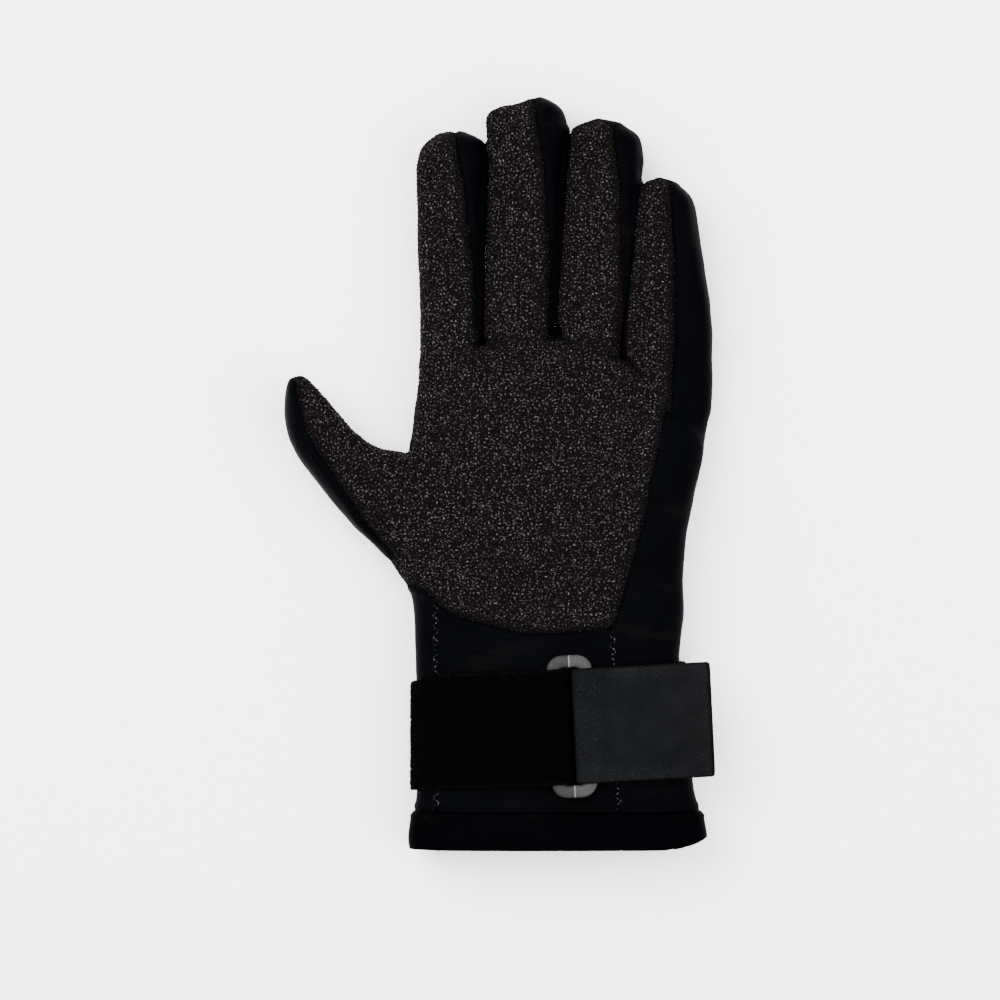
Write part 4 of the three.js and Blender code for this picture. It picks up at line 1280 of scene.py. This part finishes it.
class Finish:
    """A material being made: its tree, its shader and the nodes it needs."""

    def __init__(self, name, colour, **shader):
        self.material = bpy.data.materials.new(name)
        self.material.use_nodes = True
        self.tree = self.material.node_tree
        self.shader = self.tree.nodes["Principled BSDF"]
        self.set(self.shader, Base_Color=(*colour, 1), **shader)
        self.place = self.node("ShaderNodeTexCoord").outputs["Object"]
        self.material.diffuse_color = (*colour, 1)

    def node(self, kind, settings=None, **inputs):
        made = self.tree.nodes.new(kind)
        for key, value in (settings or {}).items():
            setattr(made, key, value)
        self.set(made, **inputs)
        return made

    def set(self, node, **inputs):
        for key, value in inputs.items():
            feed(self.tree, node.inputs[key.replace("_", " ")], value)

    def scaled(self, scale):
        """The place in mm times a scale for each axis."""
        mapping = self.node("ShaderNodeMapping", Vector=self.place)
        mapping.inputs["Scale"].default_value = [1000 * s for s in scale]
        return mapping.outputs["Vector"]

    def axes(self, vector=None):
        """The parts of a vector, or of the place in mm."""
        parts = self.node("ShaderNodeSeparateXYZ", Vector=vector or self.scaled((1, 1, 1)))
        return [Number(self.tree, parts.outputs[k]) for k in range(3)]

    def strap_axes(self):
        """Places along and across the strap, from the ring's middle, in mm."""
        x, y, _ = self.axes()
        ring_x, ring_y = RING_SIDE + SHIFT[0], STRAP_UP + SHIFT[1]
        cos, sin = math.cos(STRAP_TILT), math.sin(STRAP_TILT)
        return (x - ring_x) * cos + (y - ring_y) * sin, (y - ring_y) * cos - (x - ring_x) * sin

    def noise(self, scale, detail=3, roughness=0.55, vector=None):
        made = self.node("ShaderNodeTexNoise", Vector=vector or self.scaled((1, 1, 1)), Scale=scale,
                         Detail=detail, Roughness=roughness)
        return Number(self.tree, made.outputs["Fac"])

    def cells(self, vector, randomness):
        return self.node("ShaderNodeTexVoronoi", Vector=vector, Scale=1.0, Randomness=randomness)

    def ramp(self, value, low, high, to_low=0.0, to_high=1.0):
        made = self.node("ShaderNodeMapRange", {"interpolation_type": "SMOOTHSTEP"})
        for key, number in (("Value", value), ("From Min", low), ("From Max", high), ("To Min", to_low),
                            ("To Max", to_high)):
            feed(self.tree, made.inputs[key], number)
        return Number(self.tree, made.outputs["Result"])

    def blend(self, share, first, second):
        made = self.node("ShaderNodeMix", {"data_type": "RGBA"})
        feed(self.tree, made.inputs[0], share)
        for place, colour in ((6, first), (7, second)):
            feed(self.tree, made.inputs[place], colour if hasattr(colour, "is_linked") else (*colour, 1))
        return made.outputs[2]

    def attribute(self, name):
        return Number(self.tree, self.node("ShaderNodeAttribute", {"attribute_name": name}).outputs["Fac"])

    def edge_shade(self):
        """Painted shade: darker near a panel's edge, where the knit turns in, by the distance that the mesh
        keeps.
        """
        return self.ramp(self.attribute("inset") + self.noise(0.35, 2) * 2 - 1, 0.8, 4.2, 0.2, 1.0)

    def edge_shade_tint(self, look):
        """Painted shade on the yarn's colour: darker and greener near a panel's edge, where the knit turns
        in.
        """
        return self.blend(self.ramp(self.attribute("inset"), 0.8, 4.2), look.knit_shaded_edge, look.knit_fleck)

    def colour(self, value):
        feed(self.tree, self.shader.inputs["Base Color"], value)

    def bump(self, height, distance):
        made = self.node("ShaderNodeBump", Height=height, Distance=distance * MM, Strength=1.0)
        feed(self.tree, self.shader.inputs["Normal"], made.outputs["Normal"])


def times(colour, share):
    """A lighter or darker shade of a colour."""
    return tuple(min(1, c * share) for c in colour)


def knit_finish(look):
    """Coarse armoured knit: a brown-black ground between the yarn's loops, with painted shade where it turns
    in.
    """
    made = Finish("armour_knit", look.knit_ground, Roughness=0.85, Specular_IOR_Level=0.01)
    warp = made.node("ShaderNodeTexNoise", Vector=made.scaled((1, 1, 1)), Scale=0.6, Detail=1)
    moved = made.node("ShaderNodeVectorMath", {"operation": "MULTIPLY_ADD"})
    feed(made.tree, moved.inputs[0], warp.outputs["Color"])
    moved.inputs[1].default_value = (1.4, 1.0, 1.4)
    feed(made.tree, moved.inputs[2], made.scaled((1.0, 1.2, 1.0)))
    flecks = made.cells(moved.outputs[0], randomness=0.95)
    dot = made.ramp(Number(made.tree, flecks.outputs["Distance"]), 0.42, 0.16)
    rank = made.axes(flecks.outputs["Color"])[0]
    fine = made.noise(1.9, 2)
    # Painted shade: the flecks dim and turn greener near the panel's edge, where the knit turns in
    shown = dot * made.ramp(rank, 0.1, 1, 0.04, 0.85) * made.edge_shade()
    shown = shown + made.ramp(fine, 0.48, 0.78) * 0.08
    made.colour(made.blend(shown, look.knit_ground, made.edge_shade_tint(look)))
    made.bump(dot * 0.7 + fine * 0.6, 0.5)
    return made.material


def yarn_finish(look):
    """The loops of the armoured yarn, each with its own lightness, with painted shade near the panel's edge.
    """
    made = Finish("armour_yarn", look.knit_fleck, Roughness=0.7, Specular_IOR_Level=0.04)
    y = made.axes()[1]
    course = made.ramp((y * 3.0 + made.noise(0.09, 1) * 5).sin(), -0.7, 0.7, 0.4, 1)
    # Painted shade: the loops dim and turn greener near the panel's edge, where the knit turns in
    shown = made.ramp(made.attribute("shade"), 0.1, 1.05, 0.04, 1) * made.edge_shade() * course
    made.colour(made.blend(shown, look.knit_ground, made.edge_shade_tint(look)))
    made.bump(made.noise(3.2, 2), 0.1)
    return made.material


def thread_finish(name, colour, gloss=0.03):
    made = Finish(name, colour, Roughness=0.7, Specular_IOR_Level=gloss)
    made.colour(made.blend(made.attribute("shade"), times(colour, 0.3), times(colour, 2)))
    return made.material


def neoprene_finish(name, colour, look, gloss=0.006):
    """Nylon-faced foam: a near-black jersey with a fine knit grain, and painted sheen in faint brownish
    patches.
    """
    made = Finish(name, colour, Roughness=0.55, Specular_IOR_Level=gloss)
    x, y, z = made.axes()
    courses = (y * 7.4).sin() * (x * 5.2 + z * 5.2).sin()
    cloud = made.noise(0.035, 3)
    # Painted sheen: stretched patches where the nylon face shines a faint brown
    shiny = made.ramp(made.noise(0.05, 4, 0.7, made.scaled((0.5, 1.8, 1))), 0.56, 0.72) * 0.6
    base = made.blend(made.ramp(cloud, 0.35, 0.7), colour, times(colour, 1.5))
    made.colour(made.blend(shiny, base, look.sheen_colour))
    made.bump(courses * 0.3 + made.noise(1.1, 2) * 0.5, 0.12)
    return made.material


def plush_finish(look):
    """The loop pile, with painted shade between its tufts, lighter on their tops, and with a paler selvedge.
    """
    made = Finish("plush_loop", look.plush_colour, Roughness=0.95, Specular_IOR_Level=0.006)
    tuft = made.cells(made.scaled((1.3, 1.3, 1.3)), randomness=1)
    height = made.ramp(Number(made.tree, tuft.outputs["Distance"]), 0.1, 0.7, 1, 0)
    across = made.strap_axes()[1]
    pale = made.ramp(across.size(), STRAP_WIDTH / 2 - 1.5, STRAP_WIDTH / 2 - 0.5)
    pale = pale * made.ramp(made.noise(0.5, 3), 0.35, 0.65)
    # Painted shade: the pile is darker in the hollows between tufts and lighter on their tops
    pile = made.blend(height * made.noise(0.9, 2), look.plush_colour, times(look.plush_colour, 2))
    made.colour(made.blend(pale, pile, look.webbing_colour))
    made.bump(height, 0.6)
    return made.material


def webbing_finish(look):
    """Flat woven webbing, ribbed across, with a darker selvedge."""
    made = Finish("webbing", look.webbing_colour, Roughness=0.6, Specular_IOR_Level=0.012)
    along, across = made.strap_axes()
    weave = (across * 6.1).sin() * (along * 4.4).sin()
    cloud = made.noise(0.06, 3)
    rim = made.ramp(across.size(), STRAP_WIDTH / 2 - 9, STRAP_WIDTH / 2 - 1).most(made.ramp(along, 40, 54))
    near = made.ramp(along, 16, 7).most(rim)
    speck = made.ramp(made.noise(2.1, 2), 0.52, 0.72) * (near * 0.9 + 0.25)
    selvedge = made.ramp(across.size(), STRAP_WIDTH / 2 - 1.2, STRAP_WIDTH / 2 - 0.3, 1, 0.35)
    end = made.ramp(along, TAIL_REACH - 1.8, TAIL_REACH - 0.6, 1, 0.35)
    shown = made.ramp(cloud + weave * 0.12, 0.3, 0.75) * 0.3 + speck
    face = made.blend(shown, look.webbing_colour, times(look.webbing_colour, 4))
    made.colour(made.blend(selvedge * end, look.plush_colour, face))
    made.bump(weave * 0.6 + made.noise(1.5, 2) * 0.3, 0.2)
    return made.material


def moulded_finish(look):
    """Matt grey speckled moulding, painted strap shadow, painted highlight on the fine mould-parting ridge.
    """
    made = Finish("moulded_grey", look.ring_colour, Roughness=0.5, Specular_IOR_Level=0.06)
    along = made.strap_axes()[0]
    speck = made.ramp(made.noise(2.4, 4, 0.75), 0.36, 0.62)
    # Painted shadow of the strap: the ring is darker on the plush strap's side of its middle
    painted_strap_shadow = made.ramp(along, -0.6, 0.6, 0.3, 1)
    body = made.blend(speck * painted_strap_shadow, times(look.ring_colour, 0.4), times(look.ring_colour, 1.5))
    # Painted highlight along the mould's parting ridge; the bump below raises the ridge itself
    line = made.ramp(along.size(), 0.32, 0.12)
    made.colour(made.blend(line, body, times(look.ring_colour, 4)))
    made.bump(made.noise(1.2, 3) + line * 0.6, 0.08)
    return made.material


def plain_finish(name, colour, roughness):
    made = Finish(name, colour, Roughness=roughness, Specular_IOR_Level=0.03)
    made.colour(made.blend(made.noise(0.8, 3), colour, times(colour, 1.4)))
    made.bump(made.noise(1.7, 3), 0.08)
    return made.material


# Sizes and colours that can be changed in the panel
def length(name, default, about):
    return bpy.props.FloatProperty(name=name, description=about, default=default, min=0, unit="LENGTH",
                                   subtype="DISTANCE", precision=5)


def colour(name, default, about):
    return bpy.props.FloatVectorProperty(name=name, description=about, default=default, subtype="COLOR",
                                         size=3, min=0, max=1)


class GloveLook(bpy.types.PropertyGroup):
    skin_step: length("Skin step", 0.00105, "Size of the skin's mesh faces")
    seam_depth: length("Seam depth", 0.0008, "How far the skin dips at a seam")
    seam_ridge: length("Seam ridge", 0.0004, "How far the seam's edges stand up beside it")
    slack: length("Slack", 0.0004, "How far the skin wanders in soft lumps")
    knit_ground: colour("Knit ground", (0.0013, 0.0007, 0.0008), "The knit between its flecks")
    knit_fleck: colour("Knit flecks", (0.051, 0.045, 0.045), "The abrasion-proof yarn")
    # Painted shade: the yarn's colour where the knit turns in at a seam, darker and greener
    knit_shaded_edge: colour("Knit edge", (0.03, 0.039, 0.037), "The same yarn where it turns in at a seam")
    neoprene_colour: colour("Neoprene", (0.00035, 0.0004, 0.00065), "The smooth panels")
    plush_colour: colour("Plush", (0.0005, 0.0005, 0.0005), "The strap's loop pile")
    webbing_colour: colour("Webbing", (0.0017, 0.0018, 0.002), "The strap's smooth tail")
    ring_colour: colour("Ring", (0.022, 0.022, 0.023), "The moulded ring")
    thread_colour: colour("Thread", (0.02, 0.02, 0.021), "The cuff's zigzag stitches")
    dark_thread_colour: colour("Dark thread", (0.0008, 0.00085, 0.001), "The stitches of the other seams")
    # Painted sheen: the faint brownish shine on patches of the neoprene
    sheen_colour: colour("Rubbed", (0.0018, 0.0014, 0.0013), "The neoprene where it is rubbed")
    loop_spacing: length("Loop spacing", 0.00131, "How far apart the knit's yarn loops are, at least")
    loop_length: length("Loop length", 0.0011, "Length of a yarn loop")
    tuft_spacing: length("Tuft spacing", 0.00122, "How far apart the plush strap's tufts are, at least")
    stitch_length: length("Stitch length", 0.0013, "Length of a stitch")
    thread_width: length("Thread width", 0.00045, "Width of the sewing thread")
    floor_colour: colour("Floor", (0.98, 0.98, 0.98), "The floor")


def seam_rims(points):
    """A seam's edge turns in."""
    return [(np.full(len(points), depth), np.full(len(points), along)) for depth, along in SEAM_RIM]


def hem_rims(points):
    """The mouth's edge rolls over into the glove; elsewhere the band's edge is a seam."""
    mouth = points[:, 1] < HEM_HEIGHT / 2
    return [tuple(np.where(mouth, a, b) for a, b in zip(*steps)) for steps in zip(MOUTH_RIM, HEM_RIM)]


class GLOVE_OT_skin(bpy.types.Operator):
    """Make the glove's skin in panels, with its lining"""
    bl_idname = "glove.skin"
    bl_label = "Glove skin"

    def execute(self, context):
        look = context.scene.glove_look
        step = look.skin_step / MM
        points, triangles = glove_loft(step)
        _, norms, body = panel_fields(points)
        nearness = np.sort(np.vstack([norms, body[None]]), axis=0)
        crease = np.exp(-((nearness[1] - 1.0) / CREASE_REACH) ** 2)
        points = relax(points, triangles, CREASE_WEIGHT * crease, CREASE_ROUNDS)
        points = relax(points, triangles, np.full(len(points), SOFT_WEIGHT), SOFT_ROUNDS)
        fields, norms, body = panel_fields(points)
        normals = normals_of(points, triangles)
        height = self.relief(points, fields, look) + self.pressed(norms, body)
        points = points + normals * height[:, None]
        for x, y, reach, right, up in PULLS:
            near = np.exp(-((points[:, :2] - (x, y)) ** 2).sum(axis=1) / reach ** 2)
            points[:, :2] += near[:, None] * (right, up)
        points[:, 2] = np.maximum(points[:, 2], FLOOR_GAP)
        del fields["fade"]
        fields["mouth"] = mouth_edge(points[:, 0]) - points[:, 1]
        normals = normals_of(points, triangles)
        self.seams(points, normals, triangles, fields)
        extras = {"normal": normals}
        for key in list(fields):
            points, triangles = split(points, triangles, fields, extras, key)
        normals = unit(extras["normal"])
        rest = triangles[fields["mouth"][triangles].mean(axis=1) < 0]
        knit = knit_finish(look)
        smooth = neoprene_finish("neoprene", look.neoprene_colour, look)
        hem = neoprene_finish("hem_neoprene", times(look.neoprene_colour, 0.7), look, gloss=0.003)
        materials = {"palm_panel": knit, "hem_band": hem}
        for name, _ in PANELS:
            inside = fields[name][rest].mean(axis=1) < 0
            rims = hem_rims if name == "hem_band" else seam_rims
            patch(f"glove_{name}", points, normals, rest[inside], materials.get(name, smooth), name,
                  "armour_knit" if name == "palm_panel" else "neoprene", rims, inset=-fields[name])
            rest = rest[~inside]
        patch("glove_back_shell", points, normals, rest, smooth, "back_shell", "neoprene", seam_rims)
        self.lining(look)
        return {"FINISHED"}

    def seams(self, points, normals, triangles, fields):
        """Finds the lines that the stitches follow."""
        front = points[:, 2] > PALM_MIDDLE * CUFF_DEPTH
        cuff = front & (fields["palm_panel"] > 0.5) & (fields["hem_band"] > 0.5)
        for line in isolines(points, normals, triangles, fields["cuff_palm_panel"], cuff):
            if np.ptp(line[0][:, 1]) > 5:
                SEAM_LINES.append(("zigzag", *line))
        above = points[:, 2] > OFF_FLOOR
        for line in isolines(points, normals, triangles, fields["hem_band"] + HEM_ROW, above):
            SEAM_LINES.append(("hem", *line))
        beside = fields["palm_panel"] - OVERLOCK_ROW
        for line in isolines(points, normals, triangles, beside, fields["hem_band"] > 1):
            SEAM_LINES.append(("overlock", *line))

    def relief(self, points, fields, look):
        """How far each point of the skin stands proud: seams, ridges and soft lumps."""
        depth, ridge, slack = look.seam_depth / MM, look.seam_ridge / MM, look.slack / MM
        height = np.zeros(len(points))
        outside = np.ones(len(points))
        for name, share in PANELS:
            gap = fields[name]
            seen = share * outside
            if name.startswith("fourchette"):
                seen = seen * (1 - fields["fade"])
            height -= seen * depth * np.exp(-(gap / DIP_WIDTH) ** 2)
            height += seen * ridge * np.exp(-((np.abs(gap) - RIDGE_AT) / RIDGE_WIDTH) ** 2)
            outside = outside * smooth_step(gap, -0.9, 0.2)
        lumps = np.array([noise.fractal(Vector(p) * LUMP_SCALE, 1.0, 2.0, 3) for p in points.tolist()])
        pucker = np.array([noise.noise(Vector(p) * PUCKER_SCALE) for p in points.tolist()])
        near = np.exp(-(fields["palm_panel"] / PUCKER_REACH) ** 2)
        return height + slack * lumps * LUMP_GAIN + PUCKER_HEIGHT * pucker * near

    def pressed(self, norms, body):
        """How far the fingers' soft sides swell towards each other, to all but touch."""
        swell = np.zeros(norms.shape[1])
        for i in range(4):
            for j in (i - 1, i + 1):
                if 0 <= j < 4:
                    gap = (norms[j] - 1) * fingers[j]["width"] / 2
                    own = 1 - smooth_step(norms[i], *SWELL_OWN)
                    reach = own * (1 - smooth_step(gap, *SWELL_GAP)) * smooth_step(body, *SWELL_BODY)
                    swell += 0.5 * np.maximum(0, gap - SWELL_REST) * reach
        return swell

    def lining(self, look):
        points, triangles = glove_loft(LINING_STEP, WALL + LINING_GAP)
        fields = {"mouth": 1.1 + mouth_edge(points[:, 0]) - points[:, 1]}
        points, triangles = split(points, triangles, fields, {}, "mouth")
        used, local = np.unique(triangles[fields["mouth"][triangles].mean(axis=1) < 0], return_inverse=True)
        finished("glove_lining", points[used], local.reshape(-1, 3)[:, ::-1].tolist(),
                 plain_finish("lining", look.neoprene_colour, 0.9))


class GLOVE_OT_yarn(bpy.types.Operator):
    """Spread the armoured yarn's loops over the knit palm"""
    bl_idname = "glove.yarn"
    bl_label = "Yarn loops"

    def execute(self, context):
        look = context.scene.glove_look
        made = copy_of("glove_yarn_loops", "glove_palm_panel")
        repeated(made, scattered_repeats("yarn_loops", 0.25), "armour_knit", Length=look.loop_length,
                 Width=look.loop_length * 0.5, Height=look.loop_length * 0.42, Spacing=look.loop_spacing,
                 Density=4 / look.loop_spacing ** 2, Material=yarn_finish(look))
        return {"FINISHED"}


class GLOVE_OT_stitches(bpy.types.Operator):
    """Sew the seams: zigzag on the cuff, a row along the hem and small stitches round the knit"""
    bl_idname = "glove.stitches"
    bl_label = "Stitches"

    def execute(self, context):
        look = context.scene.glove_look
        pale = thread_finish("pale_thread", look.thread_colour)
        dark = thread_finish("dark_thread", look.dark_thread_colour, 0.003)
        pitch = look.stitch_length / MM
        kinds = {
            "zigzag": lambda line, out: stitches(line, out, pitch * 1.15, ZIGZAG_SWING, ZIGZAG_PERIOD),
            "hem": lambda line, out: stitches(line, out, pitch * 2),
            "overlock": lambda line, out: stitches(line, out, pitch * 1.3, across=True, lift=0.0),
        }
        for kind, place in kinds.items():
            rows = [place(line, out) for key, line, out in SEAM_LINES if key == kind]
            made = sewn_points(f"stitches_{kind}", rows)
            repeated(made, sewn_repeats(f"sewn_{kind}"), "neoprene", Length=look.stitch_length,
                     Width=look.thread_width, Height=look.thread_width,
                     Material=pale if kind == "zigzag" else dark)
        return {"FINISHED"}


class GLOVE_OT_strap(bpy.types.Operator):
    """Make the wrist strap, its tail, its hook patch and its ring"""
    bl_idname = "glove.strap"
    bl_label = "Wrist strap"

    def execute(self, context):
        look = context.scene.glove_look
        plush = plush_finish(look)
        finished("strap_plush", *band(lambda a: strap_path(a)[0], STRAP_THICKNESS, STRAP_WIDTH), plush,
                 "wrist_strap", slot="strap")
        made = copy_of("strap_tufts", "strap_plush")
        repeated(made, scattered_repeats("plush_tufts", 0.5), "strap", Length=look.tuft_spacing * 0.9,
                 Width=look.tuft_spacing * 0.6, Height=look.tuft_spacing * 0.8, Spacing=look.tuft_spacing,
                 Density=4 / look.tuft_spacing ** 2, Material=plush)
        finished("strap_tail", *band(lambda a: strap_path(a)[1], STRAP_THICKNESS, STRAP_WIDTH),
                 webbing_finish(look), "wrist_strap", slot="strap")
        finished("strap_hook_patch", *band(hook_path, HOOK_THICKNESS, STRAP_WIDTH - 2 * HOOK_MARGIN),
                 plain_finish("hook_tape", look.webbing_colour, 0.7), "hook_patch", slot="hook_tape")
        finished("moulded_ring", *ring_mesh(), moulded_finish(look), "strap_ring", slot="moulded_ring")
        return {"FINISHED"}


class GLOVE_OT_stage(bpy.types.Operator):
    """Set the floor, the lights and the camera"""
    bl_idname = "glove.stage"
    bl_label = "Stage"

    def execute(self, context):
        look = context.scene.glove_look
        corners = [(x * FLOOR_HALF, y * FLOOR_HALF, 0) for x, y in ((-1, -1), (1, -1), (1, 1), (-1, 1))]
        floor = plain_object("floor", corners, [[0, 1, 2, 3]])
        paper = Finish("floor", look.floor_colour, Roughness=0.9)
        floor.data.materials.append(paper.material)
        for name, place, size, power in LIGHTS:
            light = bpy.data.lights.new(name, "AREA")
            light.shape = "DISK"
            light.size = size
            light.energy = power
            lamp = linked(name, light)
            lamp.location = place
            lamp.rotation_euler = (-Vector(place)).to_track_quat("-Z", "Y").to_euler()
        world = bpy.data.worlds.new("studio")
        world.use_nodes = True
        light = world.node_tree.nodes["Background"].inputs
        light["Color"].default_value = (1, 1, 1, 1)
        light["Strength"].default_value = WORLD_LIGHT
        context.scene.world = world
        lens = bpy.data.cameras.new("camera")
        lens.lens = CAMERA_LENS
        lens.sensor_width = CAMERA_SENSOR
        lens.clip_end = CAMERA_REACH
        camera = linked("camera", lens)
        camera.location = CAMERA_PLACE
        context.scene.camera = camera
        return {"FINISHED"}


class GLOVE_PT_panel(bpy.types.Panel):
    """The glove's sizes and colours, and its pieces"""
    bl_idname = "GLOVE_PT_panel"
    bl_label = "Diving Glove"
    bl_space_type = "VIEW_3D"
    bl_region_type = "UI"
    bl_category = "Glove"

    def draw(self, context):
        look = context.scene.glove_look
        for name in GloveLook.__annotations__:
            self.layout.prop(look, name)
        for operator in OPERATORS:
            self.layout.operator(operator.bl_idname)


OPERATORS = (GLOVE_OT_skin, GLOVE_OT_yarn, GLOVE_OT_stitches, GLOVE_OT_strap, GLOVE_OT_stage)
CLASSES = (GloveLook, *OPERATORS, GLOVE_PT_panel)


def register():
    for one in CLASSES:
        bpy.utils.register_class(one)
    bpy.types.Scene.glove_look = bpy.props.PointerProperty(type=GloveLook)


def unregister():
    del bpy.types.Scene.glove_look
    for one in reversed(CLASSES):
        bpy.utils.unregister_class(one)


def world_shift():
    """How far the glove's own places lie from the frame's, in mm: the ring's middle and the hem's lower edge
    are known in both."""
    low = np.array(CAD_BOX[0]) / MM
    ring = (np.array(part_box("strap_ring")[0]) + np.array(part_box("strap_ring")[1])) / 2 / MM
    return np.array((ring[0] - RING_SIDE, low[1], 0.0))


def main():
    global SHIFT
    register()
    SHIFT = world_shift()
    bpy.ops.glove.skin()
    bpy.ops.glove.yarn()
    bpy.ops.glove.stitches()
    bpy.ops.glove.strap()
    bpy.ops.glove.stage()


if __name__ == "__main__":
    main()
